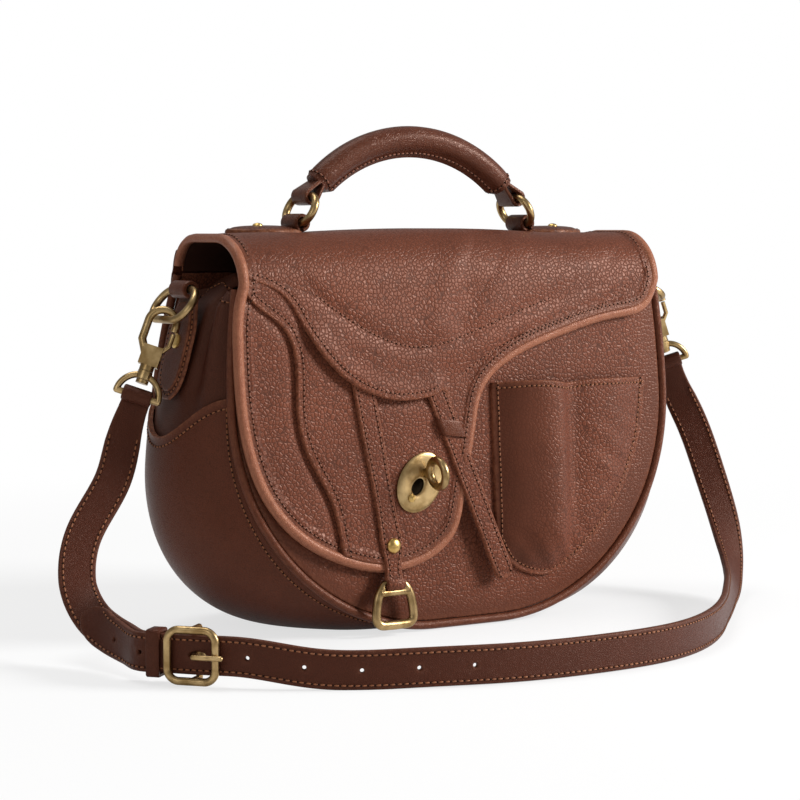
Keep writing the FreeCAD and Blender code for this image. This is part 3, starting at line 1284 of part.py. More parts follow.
    # prong: a hub on the centre bar, up through the slot and along to rest on the right rod
    thin = value("prong_radius")
    rest = front + wire + gap / 2 + thin
    points = [at(0, -post + wire, 0), at(slot_half / 2, rest, 0), at(half + wire * 2, rest, 0)]
    prong = [rod(a, b, thin) for a, b in zip(points, points[1:])]
    prong += [Part.makeSphere(thin, point) for point in points[1:]]
    hub = rod(at(0, -post, -thin), at(0, -post, thin), wire + clear + thin)
    axle = rod(at(0, -post, -wide), at(0, -post, wide), bar + value("running_gap"))
    node(feature("buckle_prong_shape", prong[0].fuse(prong[1:] + [hub]).cut(axle)), "buckle_prong")


def strap_holes(stations, middle):
    """Round adjusting holes at even steps along the strap, counted from the buckle."""
    nearest = min(range(len(stations)), key=lambda index: (stations[index][0] - middle).Length)
    pitch, radius, deep = value("strap_hole_pitch"), value("strap_hole"), value("strap_leather") * 2
    cutters = []
    for direction, count in ((1, 5), (-1, 2)):
        index, walked, made = nearest, 0.0, 0
        while made < count and 0 <= index + direction < len(stations):
            here, there = stations[index][0], stations[index + direction][0]
            step = (there - here).Length
            while made < count and walked + step >= pitch * (made + 1):
                spot = here + (there - here) * ((pitch * (made + 1) - walked) / step)
                out = stations[index][2]
                cutters.append(Part.makeCylinder(radius, 2 * deep, spot - out * deep, out))
                made += 1
            walked += step
            index += direction
    return cutters


def check_and_write():
    doc.recompute()
    for item in doc.Objects:
        if "Invalid" in item.State or "Error" in item.State:
            raise RuntimeError("%s did not build: %s" % (item.Label, item.State))
    bad = [label for label, item in NODES.items() if item.Shape.isNull() or not item.Shape.isValid()]
    if bad:
        raise RuntimeError("no valid shape: " + ", ".join(bad))
    os.makedirs("parts", exist_ok=True)
    for label, item in NODES.items():
        item.Shape.exportStep("parts/%s.step" % label)
        print("%-22s solids %d volume %.1f" % (label, len(item.Shape.Solids), item.Shape.Volume))


build_body()
build_pocket()
seat_block = build_flap()
build_strips(seat_block)
build_lock()
build_stirrup()
build_handle()
side_rivets = [build_side(name, sign) for name, sign in (("left", -1), ("right", 1))]
node(fuse("side_tab_rivets_fuse", side_rivets), "side_tab_rivets")
doc.recompute()
build_strap()
check_and_write()
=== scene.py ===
"""A saddle handbag in brown pebbled leather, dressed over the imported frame."""

import math

import bpy
import numpy as np
from mathutils import Matrix, Vector
from mathutils.geometry import delaunay_2d_cdt


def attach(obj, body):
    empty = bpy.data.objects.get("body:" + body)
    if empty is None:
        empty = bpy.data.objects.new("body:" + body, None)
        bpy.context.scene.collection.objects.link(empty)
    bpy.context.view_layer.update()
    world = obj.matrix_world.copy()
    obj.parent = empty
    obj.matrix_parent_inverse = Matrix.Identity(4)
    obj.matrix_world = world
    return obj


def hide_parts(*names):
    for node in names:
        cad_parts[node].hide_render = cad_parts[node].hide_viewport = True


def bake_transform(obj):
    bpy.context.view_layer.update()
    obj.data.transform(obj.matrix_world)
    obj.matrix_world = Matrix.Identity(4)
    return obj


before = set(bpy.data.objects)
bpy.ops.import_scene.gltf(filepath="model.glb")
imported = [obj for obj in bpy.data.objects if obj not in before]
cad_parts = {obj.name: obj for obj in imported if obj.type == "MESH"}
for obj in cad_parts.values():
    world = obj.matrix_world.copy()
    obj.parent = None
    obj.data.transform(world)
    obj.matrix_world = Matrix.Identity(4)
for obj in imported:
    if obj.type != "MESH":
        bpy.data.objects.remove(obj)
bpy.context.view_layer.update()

# Studio: a white table and a white wall, lit by one soft lamp from the upper right, a weak one
# above and one on the left, seen from the bag's front left corner a little above it.

scene = bpy.context.scene
scene.view_settings.view_transform = "Standard"
camera_place = (-0.74578, -1.13372, 0.222)
camera_forward = (0.54322, 0.83648, -0.07202)
camera_lens, camera_film = 105.93, 36.0
key_place, key_target, key_width, key_power = (1.9, -1.5, 1.2), (0.0, -0.05, 0.12), 1.0, 92.0
top_place, top_target, top_width, top_power = (-0.2, 0.3, 1.6), (0.0, 0.0, 0.15), 0.8, 9.0
fill_place, fill_target, fill_width, fill_power = (-1.4, -0.8, 0.8), (-0.05, -0.05, 0.12), 0.9, 3.0
room_colour, room_strength = (1.0, 0.985, 0.965, 1.0), 0.2
mirrored_white = 0.14
table_half, table_grey, table_roughness = 6.0, (0.92, 0.92, 0.92, 1.0), 0.8
shadow_reach, fade_reach, shadow_white = 0.25, 0.85, 0.7


def aim(item, place, forward):
    """Put a camera or lamp at a place, looking along forward."""
    item.location = place
    item.rotation_euler = Vector(forward).to_track_quat("-Z", "Y").to_euler()
    scene.collection.objects.link(item)


camera = bpy.data.objects.new("camera", bpy.data.cameras.new("camera"))
camera.data.lens = camera_lens
camera.data.sensor_width = camera_film
aim(camera, camera_place, camera_forward)
scene.camera = camera
for name, place, target, width, power in (
        ("key_lamp", key_place, key_target, key_width, key_power),
        ("top_lamp", top_place, top_target, top_width, top_power),
        ("fill_lamp", fill_place, fill_target, fill_width, fill_power)):
    lamp = bpy.data.objects.new(name, bpy.data.lights.new(name, "AREA"))
    lamp.data.shape = "DISK"
    lamp.data.size = width
    lamp.data.energy = power
    aim(lamp, place, Vector(target) - Vector(place))


def add_node(tree, kind, links=(), **settings):
    """A node with its settings, and links given as (input, source socket) or (input, value)."""
    item = tree.nodes.new(kind)
    for key, setting in settings.items():
        setattr(item, key, setting)
    for key, source in links:
        if isinstance(source, bpy.types.NodeSocket):
            tree.links.new(source, item.inputs[key])
        else:
            item.inputs[key].default_value = source
    return item


def sum_of(tree, operation, first, second):
    """The result of one sum on two values or sockets."""
    return add_node(tree, "ShaderNodeMath", [(0, first), (1, second)], operation=operation).outputs[0]


def ranged(tree, value, low, high, to_low=0.0, to_high=1.0, curve="LINEAR"):
    """A value between low and high, mapped to another range."""
    ends = [("From Min", low), ("From Max", high), ("To Min", to_low), ("To Max", to_high)]
    return add_node(
        tree, "ShaderNodeMapRange", [("Value", value)] + ends, interpolation_type=curve).outputs["Result"]


def object_place(tree):
    return add_node(tree, "ShaderNodeTexCoord").outputs["Object"]


def seen_white(tree, shader, shown_share):
    """Mix a shader with plain white where the camera or glass looks at it, and partly in mirrors."""
    path = add_node(tree, "ShaderNodeLightPath")
    straight = sum_of(tree, "MAXIMUM", path.outputs["Is Camera Ray"], path.outputs["Is Transmission Ray"])
    shown = sum_of(tree, "MULTIPLY", straight, shown_share)
    mirrored = sum_of(tree, "MULTIPLY", path.outputs["Is Glossy Ray"], mirrored_white)
    share = sum_of(tree, "MAXIMUM", shown, mirrored)
    white_kind = "ShaderNodeBackground" if shader.type == "BACKGROUND" else "ShaderNodeEmission"
    white = add_node(tree, white_kind, [("Color", (1.0, 1.0, 1.0, 1.0)), ("Strength", 1.0)])
    return add_node(
        tree, "ShaderNodeMixShader", [(0, share), (1, shader.outputs[0]), (2, white.outputs[0])]).outputs[0]


studio = bpy.data.worlds.new("studio")
scene.world = studio
studio.use_nodes = True
studio.node_tree.nodes.clear()
room_light = add_node(
    studio.node_tree, "ShaderNodeBackground", [("Color", room_colour), ("Strength", room_strength)])
add_node(
    studio.node_tree, "ShaderNodeOutputWorld", [("Surface", seen_white(studio.node_tree, room_light, 1.0))])


def new_material(name):
    """A new material, its node tree and its shader."""
    material = bpy.data.materials.new(name)
    material.use_nodes = True
    return material, material.node_tree, material.node_tree.nodes["Principled BSDF"]


table_mesh = bpy.data.meshes.new("table")
table_corners = [(-1, -1), (1, -1), (1, 1), (-1, 1)]
table_mesh.from_pydata([(a * table_half, b * table_half, 0) for a, b in table_corners], [], [(0, 1, 2, 3)])
table = bpy.data.objects.new("table", table_mesh)
scene.collection.objects.link(table)
table_white, tree, paint = new_material("table_white")
paint.inputs["Base Color"].default_value = table_grey
paint.inputs["Roughness"].default_value = table_roughness
table_reach = add_node(tree, "ShaderNodeVectorMath", [(0, object_place(tree))], operation="LENGTH")
table_fade = ranged(
    tree, table_reach.outputs["Value"], shadow_reach, fade_reach, shadow_white, 1.0, "SMOOTHSTEP")
tree.links.new(seen_white(tree, paint, table_fade), tree.nodes["Material Output"].inputs["Surface"])
table_mesh.materials.append(table_white)


# Front panel: a D of pebbled cowhide, skived and turned in along its sewn edge, with a slot
# cut for the lock's tongue. Hide is cut flat, so each leather piece is made from its flat cut.

MM = 0.001
front_lean, front_reach, front_top = math.radians(3.6), 56.0, 192.0
panel_leather, seam_inset = 2.4, 2.5
base_half, corner_radius, base_lift, side_radius = 22.0, 124.0, 3.0, 414.0
lock_side, lock_height = 29.6, 88.0
slot_half, slot_below, slot_above = 2.5, 7.0, 13.0
edge_step, hide_step = 1.6, 2.4
edge_depths = [0.22, 0.6, 1.2]
worn_reach, smooth_angle, batch = 0.9, 50.0, 2000
doubled_share, ring_kept_share, field_gap_share, ring_gap_share = 0.2, 0.9, 0.35, 0.25
wave_shares = [(1.7, 0.6, 1.0, 0.0), (-0.8, 1.5, 2.1, 0.0), (0.9, 2.3, 0.7, 1.3)]
panel_round, panel_puff, panel_puff_run, panel_sink = 1.2, 0.9, 14.0, 0.5
panel_wave, panel_wave_size, panel_wave_start = 0.25, 22.0, 0.4
panel_press, panel_press_run = 0.8, 12.0


def front_point(x, w, n):
    """Places x across, w up the bag's front and n out from it, in millimetres."""
    y = -front_reach + math.sin(front_lean) * w - math.cos(front_lean) * n
    z = math.cos(front_lean) * w + math.sin(front_lean) * n
    return np.stack([x + 0 * z, y, z], axis=-1)


def walked(line):
    """The way walked along a line, up to each of its places."""
    return np.concatenate([[0], np.cumsum(np.linalg.norm(np.diff(line, axis=0), axis=1))])


def unit(ways):
    return ways / np.maximum(np.linalg.norm(ways, axis=-1, keepdims=True), 1e-9)


def even(line, step):
    """The same line with its places about step apart."""
    line = np.asarray(line, float)
    way = walked(line)
    count = max(int(round(way[-1] / step)), 1) + 1
    at = np.linspace(0, way[-1], count)
    return np.stack([np.interp(at, way, line[:, k]) for k in range(line.shape[1])], axis=1)


def spline(points, step=edge_step):
    """A smooth curve through points, as places about step apart."""
    knots = np.array(points, float)
    stops = walked(knots)
    gaps = np.diff(stops)
    count = len(knots)
    system = np.eye(count)
    pull = np.zeros_like(knots)
    for index in range(1, count - 1):
        before, after = gaps[index - 1], gaps[index]
        system[index, index - 1:index + 2] = before, 2 * (before + after), after
        rise = (knots[index + 1] - knots[index]) / after
        pull[index] = 6 * (rise - (knots[index] - knots[index - 1]) / before)
    bend = np.linalg.solve(system, pull)
    at = np.linspace(0, stops[-1], max(8 * count, 60))
    span = np.clip(np.searchsorted(stops, at, side="right") - 1, 0, count - 2)
    wide = gaps[span][:, None]
    ahead = (at - stops[span])[:, None]
    left = wide - ahead
    curve = (bend[span] * left ** 3 + bend[span + 1] * ahead ** 3) / (6 * wide)
    curve += (knots[span] / wide - bend[span] * wide / 6) * left
    curve += (knots[span + 1] / wide - bend[span + 1] * wide / 6) * ahead
    return even(curve, step)


def closed_cut(*runs):
    """One closed outline from runs of places, anticlockwise, without its doubled corners."""
    line = np.concatenate([even(run, edge_step) for run in runs])
    keep = np.linalg.norm(line - np.roll(line, 1, axis=0), axis=1) > edge_step * doubled_share
    line = line[keep]
    following = np.roll(line, -1, axis=0)
    turn = np.sum(line[:, 0] * following[:, 1] - following[:, 0] * line[:, 1])
    return line if turn > 0 else line[::-1]


def between(one, other):
    """The closed outline between two lines that run the same way."""
    return closed_cut(one, [one[-1], other[-1]], other[::-1], [other[0], one[0]])


def rectangle(left, low, right, high):
    return between([(left, low), (right, low)], [(left, high), (right, high)])


def distance_to(line, places, closed=False):
    """How far each place is from a line, in the flat cut."""
    line = np.asarray(line, float)
    start = line if closed else line[:-1]
    run = (np.roll(line, -1, axis=0) if closed else line[1:]) - start
    length = np.maximum((run ** 2).sum(1), 1e-9)
    nearest = np.empty(len(places))
    for first in range(0, len(places), batch):
        part = places[first:first + batch]
        away = part[:, None] - start[None]
        share = np.clip((away * run[None]).sum(2) / length, 0, 1)
        nearest[first:first + batch] = np.sqrt(((away - share[..., None] * run[None]) ** 2).sum(2)).min(1)
    return nearest


def inside(line, places):
    """Whether each place is inside a closed line."""
    x0, y0 = line[:, 0], line[:, 1]
    x1, y1 = np.roll(x0, -1), np.roll(y0, -1)
    result = np.empty(len(places), bool)
    for first in range(0, len(places), batch):
        px, py = places[first:first + batch, :1], places[first:first + batch, 1:]
        cross = (y0 > py) != (y1 > py)
        reach = x0 + (py - y0) * (x1 - x0) / np.where(y1 == y0, 1e-9, y1 - y0)
        result[first:first + batch] = (cross & (px < reach)).sum(1) % 2 == 1
    return result


def outward(points, faces):
    """Faces turned round if together they point inwards."""
    volume = 0.0
    for face in faces:
        for k in range(1, len(face) - 1):
            volume += np.dot(points[face[0]], np.cross(points[face[k]], points[face[k + 1]]))
    return faces if volume > 0 else [face[::-1] for face in faces]


def leather_cut(outline, place, low, high, holes=(), step=hide_step, depths=edge_depths, flat=None):
    """A closed skin of leather from a flat cut. low and high give its two faces from the place in the
    cut and the distance to its edge, place puts them in space, flat says where the grain is pressed
    and darkened, the darkening painted shade on the pocket."""
    loops = [np.asarray(outline)] + [np.asarray(hole) for hole in holes]
    rings = []
    for index, loop in enumerate(loops):
        along = unit(np.roll(loop, -1, axis=0) - np.roll(loop, 1, axis=0))
        inward = np.stack([-along[:, 1], along[:, 0]], axis=1) * (1 if index == 0 else -1)
        rings += [loop + inward * depth for depth in depths]
    low_corner, high_corner = loops[0].min(0), loops[0].max(0)
    columns = np.arange(low_corner[0] + step / 2, high_corner[0], step)
    lines = np.arange(low_corner[1] + step / 2, high_corner[1], step)
    field = np.stack(np.meshgrid(columns, lines), axis=-1).reshape(-1, 2)

    def away(places):
        return np.min([distance_to(loop, places, closed=True) for loop in loops], axis=0)

    def within(places):
        kept = inside(loops[0], places)
        for hole in loops[1:]:
            kept &= ~inside(hole, places)
        return kept

    field = field[within(field)]
    gap = away(field)
    clear = gap > edge_depths[-1] + step * field_gap_share
    for depth in depths[len(edge_depths):]:
        clear &= np.abs(gap - depth) > step * ring_gap_share
    chosen = list(loops)
    for ring, depth in zip(rings, depths * len(loops)):
        chosen.append(ring[within(ring) & (away(ring) > depth * ring_kept_share)])
    places = np.concatenate(chosen + [field[clear]])
    bounds = []
    first = 0
    for loop in loops:
        bounds += [(first + k, first + (k + 1) % len(loop)) for k in range(len(loop))]
        first += len(loop)
    layout, _, triangles = delaunay_2d_cdt([Vector(p) for p in places], bounds, [], 2, 1e-4)[:3]
    layout = np.array([tuple(p) for p in layout])
    middles = np.array([layout[list(face)].mean(axis=0) for face in triangles])
    triangles = [face for face, kept in zip(triangles, within(middles)) if kept]
    depth = away(layout)
    top = place(layout[:, 0], layout[:, 1], high(layout, depth) + 0 * depth)
    under = place(layout[:, 0], layout[:, 1], low(layout, depth) + 0 * depth)
    count = len(layout)
    sides = {pair for a, b, c in triangles for pair in ((a, b), (b, c), (c, a))}
    rim = [(a, b) for face in triangles for a, b in zip(face, face[1:] + face[:1]) if (b, a) not in sides]
    faces = [tuple(face) for face in triangles]
    faces += [tuple(count + k for k in reversed(face)) for face in triangles]
    faces += [(b, a, a + count, b + count) for a, b in rim]
    points = np.concatenate([top, under])
    worn = np.exp(-depth / worn_reach)
    pressed = None if flat is None else np.tile(np.clip(flat(layout), 0, 1), 2)
    return points, outward(points, faces), np.tile(worn, 2), pressed


def level(height):
    """A cut's face at one height."""
    return lambda places, depth: height


def rounded(depth, radius):
    """How far a leather's face drops at a rounded edge."""
    near = np.clip(1 - depth / radius, 0, 1)
    return radius * (1 - np.sqrt(1 - near ** 2))


def bell(away, reach):
    """1 at no distance, falling softly to 0 beyond reach."""
    return np.exp(-(away / reach) ** 2)


def ease(value):
    return np.clip(value, 0, 1)


def puffed(depth, height, run):
    """A soft swell that rises from a cut's edge."""
    return height * (1 - np.exp(-depth / run))


def soft_waves(places, size, start):
    """Slow uneven swelling over a cut, between -1 and 1."""
    x, y = places[:, 0] / size, places[:, 1] / size
    waves = [np.sin(a * x + b * y + c * start + d) for a, b, c, d in wave_shares]
    return sum(waves) / len(waves)


def add_mesh(name, points, faces, material, sharp=smooth_angle):
    """A smooth mesh of one material, in metres at the origin, as a new object."""
    mesh = bpy.data.meshes.new(name)
    mesh.from_pydata((np.asarray(points) * MM).tolist(), [], faces)
    mesh.polygons.foreach_set("use_smooth", [True] * len(mesh.polygons))
    mesh.set_sharp_from_angle(angle=math.radians(sharp))
    mesh.materials.append(material)
    piece = bpy.data.objects.new(name, mesh)
    scene.collection.objects.link(piece)
    return piece


def add_piece(name, skin, material, body, replaces=(), sharp=smooth_angle, under=None):
    """One finished piece on a body of the frame. A skin is points and faces, and may have marks for
    worn edges and pressed, darkened grain, painted shade on the pocket; under is the material of a cut's
    lower face."""
    points, faces = skin[:2]
    piece = add_mesh(name, points, faces, material, sharp)
    for label, marks in zip(("edge", "flat"), skin[2:]):
        if marks is not None:
            layer = piece.data.attributes.new(label, "FLOAT", "POINT")
            layer.data.foreach_set("value", np.full(len(points), marks, np.float32))
    if under is not None:
        piece.data.materials.append(under)
        cut_faces = sum(len(face) == 3 for face in faces) // 2
        sides = [1 if cut_faces <= index < 2 * cut_faces else 0 for index in range(len(faces))]
        piece.data.polygons.foreach_set("material_index", sides)
    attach(piece, body)
    if replaces:
        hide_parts(*replaces)
    return piece


def seam_line(inset, top):
    """The D's sewn edge from its upper left, down, along the base and up to its upper right."""
    middle, centre = base_lift + corner_radius, base_half + corner_radius - side_radius
    corner, long_side = corner_radius - inset, side_radius - inset
    lean = math.asin((top - middle) / long_side)
    turns = np.linspace(lean, 0, 30)
    right = np.stack([centre + long_side * np.cos(turns), middle + long_side * np.sin(turns)], axis=1)
    turns = np.linspace(0, -math.pi / 2, 60)
    bend = np.stack([base_half + corner * np.cos(turns), middle + corner * np.sin(turns)], axis=1)
    run = np.concatenate([right, bend[1:]])
    return np.concatenate([run * [-1, 1], run[::-1]])


def add_group(name, sockets_in, sockets_out):
    """An empty shader group with named values going in and coming out."""
    group = bpy.data.node_groups.new(name, "ShaderNodeTree")
    for label, kind, start in sockets_in:
        socket = group.interface.new_socket(label, in_out="INPUT", socket_type="NodeSocket" + kind)
        socket.default_value = start
    for label, kind in sockets_out:
        group.interface.new_socket(label, in_out="OUTPUT", socket_type="NodeSocket" + kind)
    return group, group.nodes.new("NodeGroupInput").outputs, group.nodes.new("NodeGroupOutput").inputs


def noise(tree, vector, scale, detail, roughness=0.5):
    return add_node(
        tree, "ShaderNodeTexNoise",
        [("Vector", vector), ("Scale", scale), ("Detail", detail), ("Roughness", roughness)]).outputs


def mixed(tree, share, under, over):
    """Two colours mixed by a share."""
    return add_node(
        tree, "ShaderNodeMix", [(0, share), (6, under), (7, over)], data_type="RGBA").outputs[2]


def marked(tree, label):
    return add_node(tree, "ShaderNodeAttribute", attribute_name=label).outputs["Fac"]


# grain of tumbled hide: small raised cells with fine creases between them, lower where it is pressed
ripple_scale, ripple_size, cell_scatter = 260.0, 0.0009, 0.9
crown_share, crease_share, fine_scale, fine_height, pressed_height = 0.26, 0.13, 2.6, 0.1, 0.22
pebble_grain, grain_in, grain_out = add_group(
    "pebble_grain", [("Cell size", "Float", 0.0015)], [("Height", "Float"), ("Crease", "Float")])
tree = pebble_grain
where = object_place(tree)
per_metre = sum_of(tree, "DIVIDE", 1.0, grain_in["Cell size"])
ripple = add_node(
    tree, "ShaderNodeVectorMath",
    [(0, noise(tree, where, ripple_scale, 2.0)["Color"]), (1, (ripple_size,) * 3)], operation="MULTIPLY")
bent = add_node(
    tree, "ShaderNodeVectorMath", [(0, where), (1, ripple.outputs[0])], operation="ADD").outputs[0]
cells = add_node(
    tree, "ShaderNodeTexVoronoi", [("Vector", bent), ("Scale", per_metre), ("Randomness", cell_scatter)],
    feature="DISTANCE_TO_EDGE").outputs["Distance"]
crown = ranged(tree, cells, 0.0, crown_share, curve="SMOOTHERSTEP")
fine = noise(tree, bent, sum_of(tree, "MULTIPLY", per_metre, fine_scale), 3.0, 0.6)["Fac"]
heights = sum_of(tree, "ADD", crown, sum_of(tree, "MULTIPLY", fine, fine_height))
crease = ranged(tree, cells, 0.0, crease_share, 1.0, 0.0, "SMOOTHSTEP")
standing = ranged(tree, marked(tree, "flat"), 0.0, 1.0, 1.0, pressed_height)
tree.links.new(sum_of(tree, "MULTIPLY", heights, standing), grain_out["Height"])
tree.links.new(sum_of(tree, "MULTIPLY", crease, standing), grain_out["Crease"])

# tone of dyed hide: slow patches of dye, paler at worn edges; darker in creases, partly dye gathered there
# and partly painted crease shade, and darker on pressed grain, which on the pocket is painted shade
patch_low, patch_high, patch_least = 0.3, 0.7, 0.62
crease_dye_and_shade_depth, polish_and_shade_depth, scuff_scale, scuff_low, scuff_high = 0.8, 0.6, 420.0, 0.3, 0.6
hide_tone, tone_in, tone_out = add_group(
    "hide_tone",
    [("Dye", "Color", (0.1, 0.04, 0.03, 1)), ("Deep dye", "Color", (0.05, 0.02, 0.01, 1)),
     ("Rubbed", "Color", (0.3, 0.15, 0.09, 1)), ("Crease", "Float", 0.0), ("Patch size", "Float", 0.05),
     ("Edge wear", "Float", 0.6)],
    [("Colour", "Color")])
tree = hide_tone
where = object_place(tree)
patches = noise(tree, where, sum_of(tree, "DIVIDE", 1.0, tone_in["Patch size"]), 4.0, 0.62)["Fac"]
dyed = mixed(
    tree, ranged(tree, patches, patch_low, patch_high, patch_least), tone_in["Deep dye"], tone_in["Dye"])
# creases mixed towards the deep dye: dye gathered in them, and painted shade in the crease
creased_dye_and_shade = mixed(tree, sum_of(tree, "MULTIPLY", tone_in["Crease"], crease_dye_and_shade_depth), dyed, tone_in["Deep dye"])
# pressed grain mixed towards the deep dye; on the pocket's left flank this darkening is painted shade
polish_and_shade = sum_of(tree, "MULTIPLY", marked(tree, "flat"), polish_and_shade_depth)
polished_and_shaded = mixed(tree, polish_and_shade, creased_dye_and_shade, tone_in["Deep dye"])
scuffed = ranged(tree, noise(tree, where, scuff_scale, 3.0)["Fac"], scuff_low, scuff_high)
worn = sum_of(tree, "MULTIPLY", marked(tree, "edge"), scuffed)
rubbed = mixed(tree, sum_of(tree, "MULTIPLY", worn, tone_in["Edge wear"]), polished_and_shaded, tone_in["Rubbed"])
tree.links.new(rubbed, tone_out["Colour"])


def linear(red, green, blue):
    """A colour written as on a screen, from 0 to 255, for a shader."""
    def plain(part):
        part /= 255
        return part / 12.92 if part <= 0.04045 else ((part + 0.055) / 1.055) ** 2.4
    return plain(red), plain(green), plain(blue), 1.0


hide_gloss, hide_gleam = 0.27, linear(255, 206, 182)


def hide(name, dye, deep, rubbed_dye, cell, depth, shine, wear=0.6, patch_size=0.05):
    """Dyed leather: grain of a given cell size and depth, tone, and a shine that follows the grain."""
    material, tree, skin = new_material(name)
    grain = add_node(tree, "ShaderNodeGroup", node_tree=pebble_grain)
    grain.inputs["Cell size"].default_value = cell
    tone = add_node(tree, "ShaderNodeGroup", node_tree=hide_tone)
    for label, value in (
            ("Dye", linear(*dye)), ("Deep dye", linear(*deep)), ("Rubbed", linear(*rubbed_dye)),
            ("Edge wear", wear), ("Patch size", patch_size)):
        tone.inputs[label].default_value = value
    tree.links.new(grain.outputs["Crease"], tone.inputs["Crease"])
    tree.links.new(tone.outputs["Colour"], skin.inputs["Base Color"])
    tree.links.new(ranged(tree, grain.outputs["Crease"], 0.0, 1.0, *shine), skin.inputs["Roughness"])
    bump = add_node(
        tree, "ShaderNodeBump",
        [("Height", grain.outputs["Height"]), ("Strength", 1.0), ("Distance", depth)])
    tree.links.new(bump.outputs["Normal"], skin.inputs["Normal"])
    skin.inputs["Specular IOR Level"].default_value = hide_gloss
    skin.inputs["Specular Tint"].default_value = hide_gleam
    return material


pebbled_hide = hide(
    "pebbled_hide", (115, 64, 46), (56, 27, 18), (150, 94, 68), cell=0.0023, depth=0.00017,
    shine=(0.38, 0.6))


def slot_cut(border):
    """The lock's slot, cut with a border round it."""
    return rectangle(
        -lock_side - slot_half - border, lock_height - slot_below - border,
        -lock_side + slot_half + border, lock_height + slot_above + border)


def panel_face(places, depth):
    waves = panel_wave * soft_waves(places, panel_wave_size, panel_wave_start)
    return puffed(depth, panel_puff, panel_puff_run) - rounded(depth, panel_round) - panel_sink + waves


def panel_pressed(places):
    return panel_press * bell(distance_to(panel_edge, places), panel_press_run)


panel_edge = seam_line(seam_inset, front_top)
panel_skin = leather_cut(
    closed_cut(panel_edge, panel_edge[[-1, 0]]), front_point, level(-panel_leather), panel_face,
    holes=[slot_cut(0.0)], flat=panel_pressed)
add_piece("front_panel_hide", panel_skin, pebbled_hide, "bag", ["front_panel"])


# Back panel: the same D cut a little taller, leaning in to the hinge seam, lightly padded.
# Cut from the same hide and sewn in round its edge.

back_lean, back_reach, back_top = math.radians(11.9), 69.0, 203.0
back_puff, back_puff_run, back_sink = 2.4, 22.0, 0.6
back_wave, back_wave_size, back_wave_start = 0.5, 30.0, 1.7


def back_point(x, w, n):
    y = back_reach + math.cos(back_lean) * n - math.sin(back_lean) * w
    z = math.sin(back_lean) * n + math.cos(back_lean) * w
    return np.stack([x + 0 * z, y, z], axis=-1)


def back_face(places, depth):
    waves = back_wave * soft_waves(places, back_wave_size, back_wave_start)
    return puffed(depth, back_puff, back_puff_run) - rounded(depth, panel_round) - back_sink + waves


back_edge = seam_line(seam_inset, back_top)
back_skin = leather_cut(
    closed_cut(back_edge, back_edge[[-1, 0]]), back_point, level(-panel_leather), back_face)
add_piece("back_panel_hide", back_skin, pebbled_hide, "bag", ["back_panel"])


# Gusset: a band of smoother hide lasted round the base and sides, sewn to both panels, with its
# upper edge turned and stitched. Softer, darker sides rise out of it up to the flap.

base_depth, gusset_run = 125.0, 245.0
belly_half, belly_radius, belly_side_radius = 80.0, 90.0, 240.0
gusset_edge_tuck, tuck_share, gusset_overlap, panel_play, layer_play = 3.2, 0.2, 8.0, 0.1, 0.3
depth_shares = np.array([0.0, 0.24, 0.52, 0.76, 1.0])
fullness_shares = np.array([0.0, 0.72, 1.0, 0.76, 0.0])
seam_heights = np.array([133.0, 122.0, 111.0, 121.5, 132.0])
fullness_curve = np.polyfit(depth_shares, fullness_shares, 4)
height_curve = np.polyfit(depth_shares, seam_heights, 4)
front_seat = (panel_leather + panel_play) / math.cos(front_lean) - front_reach
back_seat = base_depth - front_reach - (panel_leather + panel_play) / math.cos(back_lean)
hem_height, hem_run, gusset_sink = 0.7, 2.2, 0.4
gusset_wave, gusset_wave_size, gusset_wave_start = 0.35, 26.0, 2.6
side_leather, fold_foot, fold_rise, fold_sink = 1.6, 118.0, 70.0, 0.4
roll_height, roll_share, roll_lean, roll_run = 2.6, 0.15, 0.02, 0.06
valley_depth, valley_share, valley_run, valley_least = 4.2, 0.27, 0.05, 0.4
hollow_depth, hollow_share, hollow_run = 4.0, 0.72, 0.08
back_roll_height, back_roll_share, back_roll_run = 2.0, 0.86, 0.06
ear_height, ear_lean = 182.0, 0.35
side_wave, side_wave_size, side_wave_start = 0.3, 9.0, 3.3
ear_shares = [
    (1.0, 188.0), (0.8, 191.0), (0.6, 196.0), (0.44, 199.0), (0.34, 197.0), (0.2, 191.0), (0.0, 188.0)]
floor_power, fold_onset = 1.6, 3
smooth_hide = hide(
    "smooth_hide", (92, 47, 32), (64, 31, 20), (150, 94, 66), cell=0.0011, depth=0.00007, shine=(0.32, 0.44),
    patch_size=0.03)
dark_hide = hide(
    "dark_hide", (77, 39, 27), (54, 27, 19), (112, 66, 48), cell=0.0009, depth=0.00008, shine=(0.4, 0.52),
    wear=0.3, patch_size=0.03)


def gusset_shape(share):
    """Half width of the flat base, corner and side radii, tuck and floor at shares of the depth."""
    full = ease(np.polyval(fullness_curve, share))
    half = base_half + (belly_half - base_half) * full
    radius = corner_radius + (belly_radius - corner_radius) * full
    side = side_radius + (belly_side_radius - side_radius) * full
    near_seam = ease(1 - np.minimum(share, 1 - share) / tuck_share)
    tuck = gusset_edge_tuck * near_seam ** 2
    return half, radius, side, tuck, (base_lift + tuck) * near_seam ** floor_power


def section_place(share, x, w):
    """A place across and up a gusset section, in space, at shares of the depth."""
    turn = -front_lean + (front_lean + back_lean) * share
    seat = front_seat + (back_seat - front_seat) * share
    return np.stack([x, seat - np.sin(turn) * w, np.maximum(np.cos(turn) * w, 0)], axis=-1)


